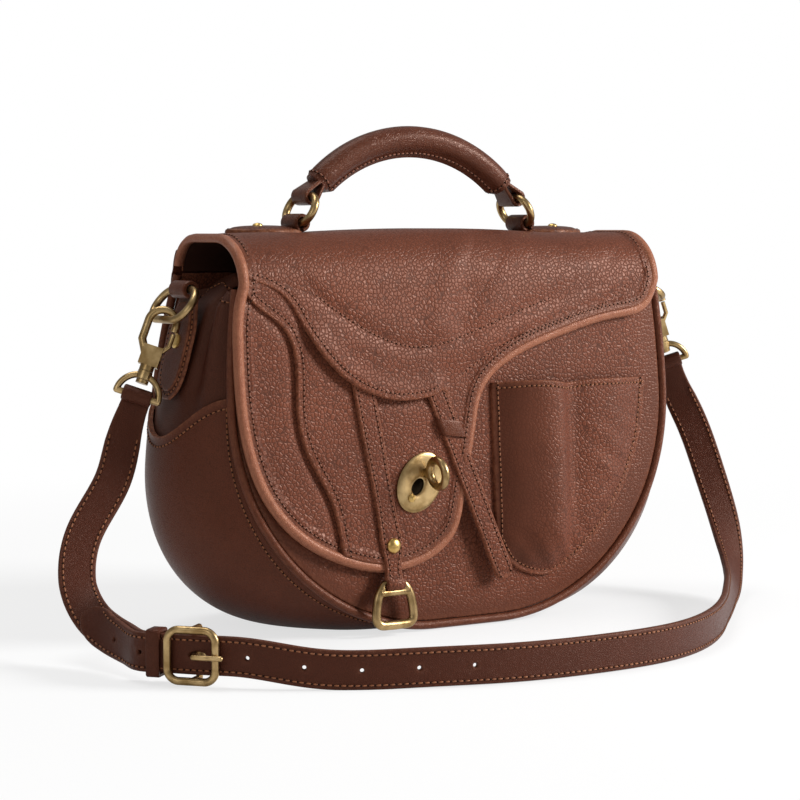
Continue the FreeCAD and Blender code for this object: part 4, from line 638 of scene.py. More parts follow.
def gusset_point(along, across, n):
    """along runs from the left upper edge, round the base, to the right; across is the depth."""
    share = across / base_depth
    half, radius, side, tuck, floor = gusset_shape(share)
    inset = seam_inset + tuck - n
    corner, long_side = radius - inset, side - inset
    rise = np.maximum(np.polyval(height_curve, share) - floor - corner, 0.0)
    bend_run = corner * math.pi / 2
    way = np.abs(along / gusset_run) * (half + bend_run + rise)
    bend = np.clip((way - half) / corner, 0, math.pi / 2)
    up = np.clip(way - half - bend_run, 0, None)
    drawn = long_side - np.sqrt(np.maximum(long_side ** 2 - up ** 2, 0))
    x = np.minimum(way, half) + corner * np.sin(bend) - drawn
    w = floor + corner * (1 - np.cos(bend)) + up
    return section_place(share, np.where(along < 0, -x, x), w)


def gusset_face(places, depth):
    hem = hem_height * bell(gusset_run - np.abs(places[:, 0]), hem_run)
    return hem - gusset_sink + gusset_wave * soft_waves(places, gusset_wave_size, gusset_wave_start)


gusset_outline = rectangle(-gusset_run, 0.0, gusset_run, base_depth)
gusset_skin = leather_cut(gusset_outline, gusset_point, level(-panel_leather), gusset_face)
add_piece("lower_gusset_hide", gusset_skin, smooth_hide, "bag", ["lower_gusset"])


def upper_gusset_point(sign):
    def place(across, w, n):
        share = across / base_depth
        half, radius, side, tuck, floor = gusset_shape(share)
        inset = seam_inset + panel_leather + layer_play + tuck - n
        corner, long_side = radius - inset, side - inset
        above = w - floor - corner
        low = np.sqrt(np.maximum(corner ** 2 - np.minimum(above, 0) ** 2, 0)) - corner
        high = np.sqrt(np.maximum(long_side ** 2 - np.maximum(above, 0) ** 2, 0)) - long_side
        return section_place(share, sign * (half + corner + np.where(above < 0, low, high)), w)
    return place


def folds(places, depth):
    """The sides' standing folds: a roll beside the front seam, a valley, and a roll at the back."""
    share = places[:, 0] / base_depth
    up = ease((places[:, 1] - fold_foot) / fold_rise)
    roll = roll_height * bell(share - roll_share + roll_lean * up, roll_run)
    valley = valley_depth * bell(share - valley_share, valley_run)
    valley += hollow_depth * bell(share - hollow_share, hollow_run)
    back = back_roll_height * bell(share - back_roll_share, back_roll_run)
    ear = ear_lean * np.maximum(places[:, 1] - ear_height, 0)
    standing = (roll - valley * (valley_least + (1 - valley_least) * up) + back) * ease(up * fold_onset)
    return standing - fold_sink - ear + side_wave * soft_waves(places, side_wave_size, side_wave_start)


shares_across = np.linspace(0.0, 1.0, 60)
upper_foot = np.stack(
    [shares_across * base_depth, np.polyval(height_curve, shares_across) - gusset_overlap], axis=1)
upper_edge = spline([(a * base_depth, b) for a, b in ear_shares])
upper_outline = closed_cut(
    upper_foot, [upper_foot[-1], upper_edge[0]], upper_edge, [upper_edge[-1], upper_foot[0]])
for side_name, sign in (("left", -1), ("right", 1)):
    upper_skin = leather_cut(
        upper_outline, upper_gusset_point(sign), lambda p, d: folds(p, d) - side_leather, folds)
    add_piece(
        "upper_gusset_" + side_name + "_hide", upper_skin, dark_hide, "bag",
        ["upper_gusset_" + side_name])


# Piping: a round cord wrapped in smooth hide, sewn into both seams between panels and gusset.
# Rubbed paler along its crown, where the bag touches things.

piping_radius, piping_step, piping_sides, piping_wear = 2.4, 2.5, 12, 0.25


def skin_rings(rings, loop=False):
    """Points and faces of a skin over rings of places, closed at both ends or joined in a loop."""
    rings = np.asarray(rings)
    count, sides = rings.shape[:2]
    points = rings.reshape(-1, 3)
    faces = []
    for k in range(count if loop else count - 1):
        here, there = k * sides, (k + 1) % count * sides
        for j in range(sides):
            following = (j + 1) % sides
            faces.append((here + j, here + following, there + following, there + j))
    if not loop:
        faces.append(tuple(reversed(range(sides))))
        faces.append(tuple(range((count - 1) * sides, count * sides)))
    return points, outward(points, faces)


def full_turn(count):
    return np.linspace(0, 2 * math.pi, count, endpoint=False)


def round_cord(path, radius):
    """A closed round cord along a path in an upright plane that faces along y."""
    along = unit(np.gradient(path, axis=0))
    side = unit(np.cross(along, (0.0, 1.0, 0.0)))
    up = np.cross(side, along)
    turns = full_turn(piping_sides)[None, :, None]
    return skin_rings(path[:, None] + (side[:, None] * np.cos(turns) + up[:, None] * np.sin(turns)) * radius)


for name, top, panel_point in (("front", front_top, front_point), ("back", back_top, back_point)):
    line = even(seam_line(0.0, top - piping_radius / 2), piping_step)
    path = panel_point(line[:, 0], line[:, 1], 0 * line[:, 0] - panel_leather / 2)
    add_piece(
        name + "_piping_hide", (*round_cord(path, piping_radius), piping_wear), smooth_hide, "bag",
        [name + "_piping"])


# Lining: plain-woven cotton inside both panels and caught in the top seams. Under it a
# fibre board stiffens the base.

lining_thick, lining_inset, lining_step, slot_border = 0.8, 12.0, 4.0, 8.0
lining_sink, lining_wave, lining_wave_size, lining_wave_start, lining_wave_run = 0.8, 0.4, 18.0, 4.2, 10.0
weave_scale, weave_uneven, weave_depth, weave_strength, cotton_roughness = 420.0, 0.6, 0.0002, 0.8, 0.85
lining_cotton, tree, cloth = new_material("lining_cotton")
where = object_place(tree)
weft, warp = (
    add_node(
        tree, "ShaderNodeTexWave", [("Vector", where), ("Scale", weave_scale), ("Distortion", weave_uneven)],
        bands_direction=direction).outputs["Fac"]
    for direction in "ZX")
weave = sum_of(tree, "MULTIPLY", weft, warp)


def two_tone(tree, share, dark, light):
    """A colour between a dark and a light one."""
    ramp = add_node(tree, "ShaderNodeValToRGB", [("Fac", share)])
    for element, colour in zip(ramp.color_ramp.elements, (dark, light)):
        element.color = linear(*colour)
    return ramp.outputs["Color"]


tree.links.new(two_tone(tree, weave, (46, 30, 24), (84, 60, 48)), cloth.inputs["Base Color"])
cloth.inputs["Roughness"].default_value = cotton_roughness
weave_bump = add_node(
    tree, "ShaderNodeBump", [("Height", weave), ("Strength", weave_strength), ("Distance", weave_depth)])
tree.links.new(weave_bump.outputs["Normal"], cloth.inputs["Normal"])


def cut_area(outline):
    """The flat area of a cut in square metres."""
    following = np.roll(outline, -1, axis=0)
    return abs(np.sum(outline[:, 0] * following[:, 1] - following[:, 0] * outline[:, 1])) / 2 * MM * MM


def lining_face(places, depth):
    waves = lining_wave * soft_waves(places, lining_wave_size, lining_wave_start)
    return waves * ease(depth / lining_wave_run) - panel_leather - lining_sink


for name, top, panel_point, holes in (
        ("front", front_top, front_point, [slot_cut(slot_border)]), ("back", back_top, back_point, [])):
    edge = seam_line(lining_inset, top - lining_inset)
    outline = closed_cut(edge, edge[[-1, 0]])
    lining_skin = leather_cut(
        outline, panel_point, lambda p, d: lining_face(p, d) - lining_thick, lining_face, holes=holes,
        step=lining_step)
    sheet = add_piece(
        name + "_lining_cloth", lining_skin[:2], lining_cotton, "bag", [name + "_lining"])
    area = cut_area(outline) - sum(cut_area(hole) for hole in holes)

fibre_board = hide(
    "fibre_board", (92, 74, 58), (70, 54, 42), (120, 98, 78), cell=0.0006, depth=0.00003, shine=(0.7, 0.85))


def finish_node(label, material):
    """Give a piece of the frame itself its material."""
    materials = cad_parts[label].data.materials
    materials.clear()
    materials.append(material)


finish_node("base_board", fibre_board)


# Front pocket: a small pouch of pebbled hide on the lower right, sewn down along its sides and
# round foot. It swells into two rounds with a valley between, and its mouth is hemmed.

pocket_left, pocket_width, pocket_top, pocket_foot = 20.0, 110.0, 136.0, 25.0
pocket_leather, pocket_play, pocket_seat, pocket_lowest, pocket_step = 2.0, 0.3, 2.2, 0.05, 1.8
pocket_edge_shares = [
    (0.0, 0.21), (0.06, 0.1), (0.16, 0.03), (0.31, 0.0), (0.48, 0.06), (0.79, 0.36), (0.96, 0.72), (1.0, 1.0)]
pocket_profile_shares = [
    (0.0, 2.0), (0.04, 4.4), (0.1, 8.2), (0.18, 11.4), (0.26, 13.6), (0.32, 14.4), (0.37, 13.8), (0.41, 10.8),
    (0.445, 7.0), (0.48, 5.2), (0.56, 6.0), (0.68, 8.0), (0.8, 8.2), (0.91, 5.2), (1.0, 2.0)]
pocket_profile_step, pocket_free_part = 0.5, 12
mouth_dip, mouth_dip_share, mouth_dip_run = 1.6, 0.45, 0.1
mouth_rise, mouth_rise_share, mouth_rise_run = 0.8, 0.2, 0.12
sewn_flat, sewn_run, pucker, pucker_rise, pucker_run = 3.0, 11.0, 0.8, 30.0, 10.0
pucker_waves = (0.42, 0.3)
slant_middle, slant_way, slant_wave, slant_size = (92.0, 82.0), (0.5, 0.86), 0.4, 0.4
slant_share, slant_blend, slant_height, slant_reach, slant_run = 0.55, 0.15, 88.0, 26.0, 12.0
pocket_row, pocket_row_depth, pocket_row_width, pocket_round = 3.2, 0.4, 0.9, 0.8
pocket_wave, pocket_wave_size, pocket_wave_start = 0.25, 10.0, 5.1
# the pocket's left round: grain pressed smooth and darkened towards its left side, the darkening painted
# shade
pocket_smooth_and_shade_depth, pocket_shade_share, pocket_shade_blend, pocket_shade_foot, pocket_shade_rise = 0.9, 0.41, 0.26, 1.0, 8.0

pocket_line = spline(
    [(pocket_left + a * pocket_width, pocket_foot + b * (pocket_top - pocket_foot))
     for a, b in pocket_edge_shares])
pocket_profile = spline([(a * pocket_width, b) for a, b in pocket_profile_shares], pocket_profile_step)
mouth_shares = np.linspace(1.0, 0.0, 30)
mouth_drop = mouth_dip * bell(mouth_shares - mouth_dip_share, mouth_dip_run)
mouth_drop -= mouth_rise * bell(mouth_shares - mouth_rise_share, mouth_rise_run)
pocket_mouth = np.stack([pocket_left + mouth_shares * pocket_width, pocket_top - mouth_drop], axis=1)
pocket_outline = closed_cut(pocket_line, pocket_mouth, [pocket_mouth[-1], pocket_line[0]])


def pocket_out(places):
    """How far the pouch stands out from the panel."""
    x, w = places[:, 0], places[:, 1]
    swell = np.interp(x - pocket_left, pocket_profile[:, 0], pocket_profile[:, 1])
    sewn = distance_to(pocket_line[pocket_free_part:], places)
    free = 1 - np.exp(-np.maximum(sewn - sewn_flat, 0) / sewn_run)
    near_foot = 1 - ease((w - pocket_foot) / pucker_rise)
    crease = pucker * np.sin(x * pucker_waves[0] + w * pucker_waves[1]) * near_foot * ease(sewn / pucker_run)
    aslant = (x - slant_middle[0]) * slant_way[0] + (w - slant_middle[1]) * slant_way[1]
    on_right = ease(((x - pocket_left) / pocket_width - slant_share) / slant_blend)
    slants = slant_wave * np.sin(aslant * slant_size) * on_right * bell(w - slant_height, slant_reach)
    crease += slants * ease(sewn / slant_run)
    return np.maximum(pocket_seat + (swell - pocket_seat) * free + crease, pocket_seat)


def pocket_under(places, depth):
    return np.maximum(pocket_out(places) - pocket_leather - pocket_play, pocket_lowest)


def pocket_face(places, depth):
    sewn_row = pocket_row_depth * bell(depth - pocket_row, pocket_row_width)
    waves = pocket_wave * soft_waves(places, pocket_wave_size, pocket_wave_start)
    return pocket_out(places) - rounded(depth, pocket_round) - sewn_row + waves


# Smooth, darker grain over the pocket's left round; the darkening is painted shade on the flank turned from
# the lamp
def pocket_smooth_and_shade(places):
    share = (places[:, 0] - pocket_left) / pocket_width
    above_foot = ease((places[:, 1] - pocket_foot - pocket_shade_foot) / pocket_shade_rise)
    return pocket_smooth_and_shade_depth * ease((pocket_shade_share - share) / pocket_shade_blend) * above_foot


pocket_skin = leather_cut(
    pocket_outline, front_point, pocket_under, pocket_face, step=pocket_step, flat=pocket_smooth_and_shade)
add_piece("front_pocket_hide", pocket_skin, pebbled_hide, "bag", ["front_pocket"])


# Flap: one long hide from the hinge seam at the back, over the top fold and down the front, with
# two shaped overlays sewn on it and its whole edge bound with a rolled strip of smooth hide.

flap_half, flap_fold, flap_gap, flap_leather, overlay_leather = 146.0, 193.0, 2.0, 2.0, 1.6
fold_y, fold_z, fold_radius = -18.93, 191.05, 29.0
back_fold_y, back_fold_z, back_fold_radius = 6.19, 199.24, 20.81
crown_run, crown_rise, crown_half, corner_drop, corner_start, corner_run = 30.0, 2.4, 78.0, 2.6, 112.0, 30.0
outer_face = flap_gap + flap_leather
fold_run = fold_radius * (math.pi / 2 - front_lean)
flat_run = back_fold_y - fold_y
back_run = back_fold_radius * math.pi / 2
back_start = flap_fold + fold_run + flat_run
hinge_s = back_start + back_run


def flap_point(x, s, n):
    """x across, s up the front and over the top to the hinge, n out from the bag."""
    front = front_point(x, np.minimum(s, flap_fold), n)
    turn = front_lean + np.clip(s - flap_fold, 0, fold_run) / fold_radius
    reach = fold_radius + n - outer_face
    y = fold_y - reach * np.cos(turn) + np.clip(s - flap_fold - fold_run, 0, flat_run)
    z = fold_z + reach * np.sin(turn)
    back_turn = np.clip(s - back_start, 0, back_run) / back_fold_radius
    back_reach_out = back_fold_radius + n - outer_face
    y = np.where(s > back_start, back_fold_y + back_reach_out * np.sin(back_turn), y)
    z = np.where(s > back_start, back_fold_z + back_reach_out * np.cos(back_turn), z)
    crowned = ease((s - flap_fold) / crown_run) * ease((hinge_s - s) / crown_run)
    rise = crown_rise * ease(1 - (x / crown_half) ** 2)
    drop = corner_drop * ease((-x - corner_start) / corner_run) ** 2
    bent = np.stack([x + 0 * y, y, z + crowned * (rise - drop)], axis=-1)
    return np.where((s > flap_fold)[..., None], bent, front)


def flap_curve(shares):
    return spline([(a * flap_half, b * flap_fold) for a, b in shares])


flap_edge_shares = [
    (-0.966, 1.0), (-0.985, 0.955), (-1.0, 0.829), (-0.986, 0.611), (-0.904, 0.415), (-0.753, 0.285),
    (-0.589, 0.218), (-0.37, 0.181), (-0.192, 0.207), (-0.068, 0.275), (-0.021, 0.373), (0.048, 0.601),
    (0.082, 0.684), (0.185, 0.756), (0.452, 0.834), (0.747, 0.886), (0.905, 0.918), (0.966, 1.0)]
mid_edge_shares = [
    (-0.96, 1.0), (-0.93, 0.964), (-0.788, 0.876), (-0.747, 0.782), (-0.747, 0.632), (-0.705, 0.518),
    (-0.623, 0.404), (-0.575, 0.249), (-0.56, 0.15)]
seat_edge_shares = [
    (-1.0, 1.03), (-0.945, 1.02), (-0.774, 0.959), (-0.699, 0.86), (-0.61, 0.772), (-0.53, 0.722),
    (-0.426, 0.684), (-0.307, 0.666), (-0.203, 0.671), (-0.148, 0.682), (-0.115, 0.69), (-0.1, 0.68),
    (-0.1, 0.65), (-0.085, 0.6), (-0.055, 0.53), (-0.02, 0.46), (0.02, 0.4)]
rim_inset, row_inset, border_width, border_leather = 4.6, 8.0, 5.7, 0.5
border_before, border_beyond = 0.25, 0.15
border_depths = edge_depths + [border_width - border_before, border_width + border_beyond]
flap_front = flap_curve(flap_edge_shares)


def rim_line(stop, step):
    """The flap's edge from its left end at the back, round the front, to its right end."""
    left, right = flap_edge_shares[0][0] * flap_half, flap_edge_shares[-1][0] * flap_half
    return even(np.concatenate([[(left, stop)], flap_front, [(right, stop)]]), step)


def drawn_in(line, depth):
    """A line moved to its left by depth, in the flat cut."""
    along = unit(np.gradient(line, axis=0))
    return line + np.stack([-along[:, 1], along[:, 0]], axis=1) * depth


flap_rim_line = rim_line(hinge_s, edge_step)
flap_border_row = drawn_in(flap_rim_line, row_inset)
field_line = drawn_in(flap_rim_line, rim_inset)
field_outline = closed_cut(field_line, field_line[[-1, 0]])
plate_turn = math.radians(52)
plate_way = np.array([math.cos(plate_turn), math.sin(plate_turn)])
lock_middle = np.array([-lock_side, lock_height])
lock_hole_offset, lock_hole_long, lock_hole_short = 5.2, 10.8, 6.0


def oval(offset, long_half, short_half):
    """An oval cut whose long axis lies along the lock's plate, offset down it from the post."""
    angles = full_turn(48)
    plate_side = np.array([-plate_way[1], plate_way[0]])
    ring = np.outer(long_half * np.cos(angles), plate_way) + np.outer(short_half * np.sin(angles), plate_side)
    return lock_middle - offset * plate_way + ring


def part_of_field(edge):
    """An edge line that crosses the field, and the field's outline on one side of it."""
    kept = np.nonzero(inside(field_outline, edge))[0]
    part = edge[kept[0]:kept[-1] + 1]
    first = int(np.argmin(np.linalg.norm(field_outline - part[0], axis=1)))
    last = int(np.argmin(np.linalg.norm(field_outline - part[-1], axis=1)))
    count = len(field_outline)
    forward = [field_outline[(last + k) % count] for k in range((first - last) % count + 1)]
    return part, closed_cut(part, [part[-1], forward[0]], forward, [forward[-1], part[0]])


def sunk_beside(line, places, depth, reach):
    return depth * bell(distance_to(line, places), reach)


row_depth, row_width, border_row_depth, border_blend = 0.4, 0.9, 0.35, 0.3
border_press, border_press_blend, top_press, top_press_middle, top_press_run = 0.5, 1.5, 0.55, 30.0, 16.0
rim_press_width = 10.7
lock_hole = oval(lock_hole_offset, lock_hole_long, lock_hole_short)
mid_line, mid_outline = part_of_field(flap_curve(mid_edge_shares))
seat_line, seat_outline = part_of_field(flap_curve(seat_edge_shares))


def under_rows(places):
    """The border strip stands a little proud inside the binding, and its stitches sink in."""
    strip = ease((rim_inset + border_width - distance_to(flap_rim_line, places)) / border_blend)
    return sunk_beside(flap_border_row, places, border_row_depth, row_width) - border_leather * strip


def flap_pressed(places):
    """The grain is pressed flat along the border, and worn smooth over the top fold."""
    border = ease((rim_press_width - distance_to(flap_rim_line, places)) / border_press_blend)
    top = bell(places[:, 1] - flap_fold - top_press_middle, top_press_run)
    return np.maximum(border_press * border, top_press * top)


flap_sink, flap_wave, flap_wave_size, flap_wave_start, flap_wave_run = 1.3, 0.25, 20.0, 6.2, 6.0
overlay_sink_run = 4.0


def flap_face(places, depth):
    waves = flap_wave * soft_waves(places, flap_wave_size, flap_wave_start) * ease(depth / flap_wave_run)
    face = outer_face - sunk_beside(mid_line, places, flap_sink, overlay_sink_run)
    return face - under_rows(places) + waves


# the flap's underside, dyed far darker than its face, is painted shade under the flap and inside its arch
flesh_side_painted_shade = hide(
    "flesh_side_painted_shade", (58, 32, 23), (36, 19, 13), (80, 48, 34), cell=0.0006, depth=0.00006, shine=(0.8, 0.92),
    wear=0.2, patch_size=0.02)
flap_skin = leather_cut(
    field_outline, flap_point, level(flap_gap), flap_face, holes=[lock_hole], depths=border_depths,
    flat=flap_pressed)
add_piece("flap_panel_hide", flap_skin, pebbled_hide, "flap", ["flap_panel"], under=flesh_side_painted_shade)

skive_start, skive_run = 6.0, 40.0
mid_lap, mid_least, mid_round, mid_sink, mid_row_inset = 0.6, 0.15, 0.7, 1.1, 4.0
mid_wave, mid_wave_size, mid_wave_start, overlay_wave_run = 0.3, 18.0, 7.4, 8.0
mid_rows = drawn_in(mid_line, mid_row_inset)


def near_fold(places):
    """1 on the front, easing to 0 over the top fold, where the overlays are skived thin."""
    return ease((flap_fold + skive_start - places[:, 1]) / skive_run)


def mid_face(places, depth):
    ends = near_fold(places)
    edge = rounded(depth, mid_round) + sunk_beside(seat_line, places, mid_sink, overlay_sink_run)
    waves = mid_wave * soft_waves(places, mid_wave_size, mid_wave_start) * ease(depth / overlay_wave_run)
    sunk = sunk_beside(mid_rows, places, row_depth, row_width) + under_rows(places)
    return outer_face + mid_least + (overlay_leather - edge) * ends - sunk + waves


mid_skin = leather_cut(
    mid_outline, flap_point, level(outer_face - mid_lap), mid_face, holes=[lock_hole], depths=border_depths,
    flat=flap_pressed)
add_piece("flap_mid_hide", mid_skin, pebbled_hide, "flap", ["flap_mid_panel"])

seat_row_inset, seat_row_right, seat_free_left, seat_free_low = 3.6, -21.0, -100.0, 126.0
seat_rows = drawn_in(seat_line[seat_line[:, 0] < seat_row_right], seat_row_inset)
seat_free = seat_line[(seat_line[:, 0] > seat_free_left) & (seat_line[:, 1] > seat_free_low)]
seat_fancy = spline([
    (-137, 207), (-112, 198), (-88, 182), (-64, 167), (-38, 158), (-12, 160), (22, 171), (64, 184),
    (104, 198), (128, 212)])
seat_second = spline([(-4, 141), (14, 152), (40, 163), (80, 174), (112, 186), (130, 206)])
seat_dent = spline([(26, 218), (14, 200), (6, 186), (-2, 172)])
seat_ridge = seat_dent + [-17.0, 0.0]
lift_height, lift_run, lift_right, lift_blend = 2.6, 9.0, -13.0, 9.0
seat_puff, seat_puff_run, seat_least, seat_round, seat_lap, seat_skive = 1.6, 12.0, 0.5, 0.8, 0.4, 0.2
fancy_depth, fancy_width, fancy_sink, fancy_run, second_sink, second_run = 0.5, 1.0, 1.1, 5.0, 0.8, 4.0
dent_depth, ridge_height, dent_run, dent_edge = 1.7, 0.9, 9.0, 14.0
seat_wave, seat_wave_size, seat_wave_start, top_wave_share, top_round_share = 1.0, 30.0, 8.3, 0.3, 0.4


def seat_lift(places):
    """The seat's rounded lower edge stands off the flap, over the ends of the straps."""
    left_part = ease((lift_right - places[:, 0]) / lift_blend)
    return lift_height * bell(distance_to(seat_free, places), lift_run) * left_part


def seat_face(places, depth):
    ends = near_fold(places)
    drawn = sunk_beside(seat_rows, places, row_depth, row_width) + under_rows(places)
    for line, sink, run in ((seat_fancy, fancy_sink, fancy_run), (seat_second, second_sink, second_run)):
        drawn += sunk_beside(line, places, fancy_depth, fancy_width) + sunk_beside(line, places, sink, run)
    slack = sunk_beside(seat_dent, places, dent_depth, dent_run)
    slack -= sunk_beside(seat_ridge, places, ridge_height, dent_run)
    waves = seat_wave * soft_waves(places, seat_wave_size, seat_wave_start) * ease(depth / overlay_wave_run)
    thick = seat_least + (2 * overlay_leather - seat_skive + puffed(depth, seat_puff, seat_puff_run)) * ends
    edge = rounded(depth, seat_round) * (top_round_share + (1 - top_round_share) * ends)
    waves *= top_wave_share + (1 - top_wave_share) * ends
    return outer_face + thick - edge - drawn - slack * ease(depth / dent_edge) + waves + seat_lift(places)


def seat_under(places, depth):
    return outer_face - seat_lap + (overlay_leather - seat_skive) * near_fold(places) + seat_lift(places)


seat_skin = leather_cut(
    seat_outline, flap_point, seat_under, seat_face, depths=border_depths, flat=flap_pressed)
add_piece("flap_seat_hide", seat_skin, pebbled_hide, "flap", ["flap_seat_panel"])

binding_shape = [
    (5.4, 2.2), (5.5, 4.6), (4.6, 5.5), (3.2, 6.0), (1.6, 5.9), (0.4, 5.0), (-0.2, 3.8), (0.0, 2.4),
    (0.9, 1.5), (2.6, 1.3), (4.4, 1.5)]
binding_end, binding_step, binding_wear, binding_angle = 3.5, 2.2, 0.4, 70.0
# dyed paler than the flap, whose leather it is, as painted light and highlight along the bound edge
binding_hide_painted_light = hide(
    "binding_hide_painted_light", (148, 92, 70), (110, 64, 47), (176, 122, 92), cell=0.0012, depth=0.00007,
    shine=(0.28, 0.42), patch_size=0.02)
binding_line = rim_line(hinge_s - binding_end, binding_step)
rings = []
for across, out in binding_shape:
    place = drawn_in(binding_line, across)
    rings.append(flap_point(place[:, 0], place[:, 1], np.full(len(place), out)))
add_piece(
    "flap_binding", (*skin_rings(np.stack(rings, axis=1)), binding_wear), binding_hide_painted_light, "flap",
    ["flap_rim"], sharp=binding_angle)


# Metal: cast and bent brass with an antique finish, dark in its hollows and bright where it is
# rubbed. The lock, rings, clips, stirrup, buckle and rivets are all of it.

cloud_scale, cloud_low, cloud_high, scratch_scale = 130.0, 0.35, 0.62, 900.0
brass_smooth, brass_rough, scratch_strength, scratch_depth = 0.24, 0.44, 0.5, 0.00004
brass_tone, brass_in, brass_out = add_group(
    "brass_tone", [("Bright", "Color", (0.6, 0.42, 0.18, 1)), ("Dull", "Color", (0.2, 0.12, 0.04, 1))],
    [("Colour", "Color"), ("Roughness", "Float"), ("Height", "Float")])
tree = brass_tone
where = object_place(tree)
cloud = ranged(tree, noise(tree, where, cloud_scale, 5.0)["Fac"], cloud_low, cloud_high)
scratches = noise(tree, where, scratch_scale, 3.0)["Fac"]
tree.links.new(mixed(tree, cloud, brass_in["Dull"], brass_in["Bright"]), brass_out["Colour"])
tree.links.new(ranged(tree, scratches, 0.0, 1.0, brass_smooth, brass_rough), brass_out["Roughness"])
tree.links.new(scratches, brass_out["Height"])


def brass(name, bright, dull):
    material, tree, metal = new_material(name)
    metal.inputs["Metallic"].default_value = 1.0
    tone = add_node(tree, "ShaderNodeGroup", node_tree=brass_tone)
    tone.inputs["Bright"].default_value = linear(*bright)
    tone.inputs["Dull"].default_value = linear(*dull)
    tree.links.new(tone.outputs["Colour"], metal.inputs["Base Color"])
    tree.links.new(tone.outputs["Roughness"], metal.inputs["Roughness"])
    bump = add_node(
        tree, "ShaderNodeBump",
        [("Height", tone.outputs["Height"]), ("Strength", scratch_strength), ("Distance", scratch_depth)])
    tree.links.new(bump.outputs["Normal"], metal.inputs["Normal"])
    return material


antique_brass = brass("antique_brass", (188, 160, 114), (142, 115, 74))
bright_brass = brass("bright_brass", (222, 188, 118), (186, 150, 86))
antique_pieces = (
    "turn_knob", "lock_receiver", "lock_backing", "handle_ring", "side_ring", "hook", "hook_gate",
    "hook_gate_pin", "bail", "buckle_frame", "buckle_prong")
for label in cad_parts:
    piece_name = label.removesuffix("_left").removesuffix("_right")
    if piece_name in ("side_tab_rivets", "lock_plate_rivets"):
        finish_node(label, bright_brass)
    elif piece_name in antique_pieces:
        finish_node(label, antique_brass)


# Straps on the flap: a slanted stirrup leather that ends in a loop, and a girth strap that
# crosses the flap's edge. Both are cut hide with dyed edges and two rows of stitches.

strip_leather, strip_lift, strip_round, fine_step = 2.2, 0.05, 0.8, 1.6
strip_row, strip_row_depth, strip_row_width = 2.2, 0.35, 0.7
strip_face = outer_face + overlay_leather
girth_top, girth_foot, girth_half, girth_tip = np.array([-23.6, 139.5]), np.array([22.5, 26.0]), 6.0, 0.9
girth_along = unit(girth_foot - girth_top)
girth_side = np.array([-girth_along[1], girth_along[0]])


def strip_top(places, depth):
    sewn_row = strip_row_depth * bell(depth - strip_row, strip_row_width)
    return strip_face + strip_leather - rounded(depth, strip_round) - sewn_row


near = [girth_top + girth_side * girth_half, girth_top - girth_side * girth_half]
tip_reach = girth_along * girth_half * girth_tip
tip_turns = np.linspace(-math.pi / 2, math.pi / 2, 16)[:, None]
tip = girth_foot - tip_reach + tip_reach * np.cos(tip_turns) + girth_side * girth_half * np.sin(tip_turns)
girth_outline = closed_cut(near, [near[1], tip[0]], tip, [tip[-1], near[0]])
girth_skin = leather_cut(
    girth_outline, front_point, level(strip_face + strip_lift), strip_top, step=fine_step)
add_piece("girth_strap_hide", girth_skin, pebbled_hide, "flap", ["girth_strap"])

keeper_height, keeper_band, keeper_sag, keeper_wear = 112.0, 9.0, 0.12, 0.2
girth_left, girth_level, girth_across_run, girth_up_run = -21.0, 133.0, 41.0, 101.0
keeper_lean = girth_across_run / girth_up_run
keeper_middle = girth_left + keeper_lean * (girth_level - keeper_height)
keeper_shape = np.array([
    (-8.0, 0.0), (-7.9, 2.6), (-7.0, 3.7), (-5.6, 4.0), (0.0, 4.1), (5.6, 4.0), (7.0, 3.7), (7.9, 2.6),
    (8.0, 0.0), (6.3, 0.0), (6.2, 2.2), (5.6, 2.45), (0.0, 2.5), (-5.6, 2.45), (-6.2, 2.2), (-6.3, 0.0)])
keeper_band_shares = [(-0.5, 0.93), (-0.44, 0.98), (-0.3, 1.0), (0.3, 1.0), (0.44, 0.98), (0.5, 0.93)]
rings = []
for share, swell in keeper_band_shares:
    across, out = keeper_shape.T
    up = keeper_height + share * keeper_band - across * keeper_sag
    middle = keeper_middle - keeper_lean * share * keeper_band
    rings.append(front_point(middle + across, up, strip_face + out * swell))
add_piece(
    "girth_keeper_hide", (*skin_rings(rings), keeper_wear), smooth_hide, "flap", ["girth_keeper"])

stirrup_side, stirrup_bar_height, stirrup_rivet_height = 53.0, 29.0, 49.0
strip_top_side, strip_top_height = 67.5, 132.0
strip_slant = (strip_top_side - stirrup_side) / (strip_top_height - stirrup_rivet_height)
leather_sides = spline([
    (141.0, 6.5), (100.0, 6.5), (60.0, 6.5), (49.0, 6.8), (42.0, 5.6), (37.0, 4.9), (31.0, 5.4), (27.0, 5.6)])
bulge_height, bulge_start, bulge_run = 1.3, 36.0, 8.0
loop_outer, loop_inner, loop_half, loop_round, loop_flat, loop_wear = 4.3, 2.15, 5.5, 0.4, 0.86, 0.2
loop_section = [
    (loop_inner, -1), (loop_inner, 1), (loop_outer - loop_round, 1), (loop_outer, loop_flat),
    (loop_outer, -loop_flat), (loop_outer - loop_round, -1)]


def strip_line(side, inset=0.0):
    """A line down one side of the stirrup leather, drawn in by inset."""
    up, half = leather_sides.T
    middle = -stirrup_side - np.maximum(up - stirrup_rivet_height, 0) * strip_slant
    return np.stack([middle + side * (half - inset), up], axis=1)


def stirrup_strip_top(places, depth):
    return strip_top(places, depth) + bulge_height * ease((bulge_start - places[:, 1]) / bulge_run) ** 2


def join_skins(*skins):
    """One skin from several, each with a mark for its worn edges."""
    points, faces, marks, first = [], [], [], 0
    for skin in skins:
        points.append(np.asarray(skin[0]))
        faces += [tuple(k + first for k in face) for face in skin[1]]
        marks.append(np.full(len(skin[0]), skin[2] if len(skin) > 2 else 0.0))
        first += len(skin[0])
    return np.concatenate(points), faces, np.concatenate(marks)


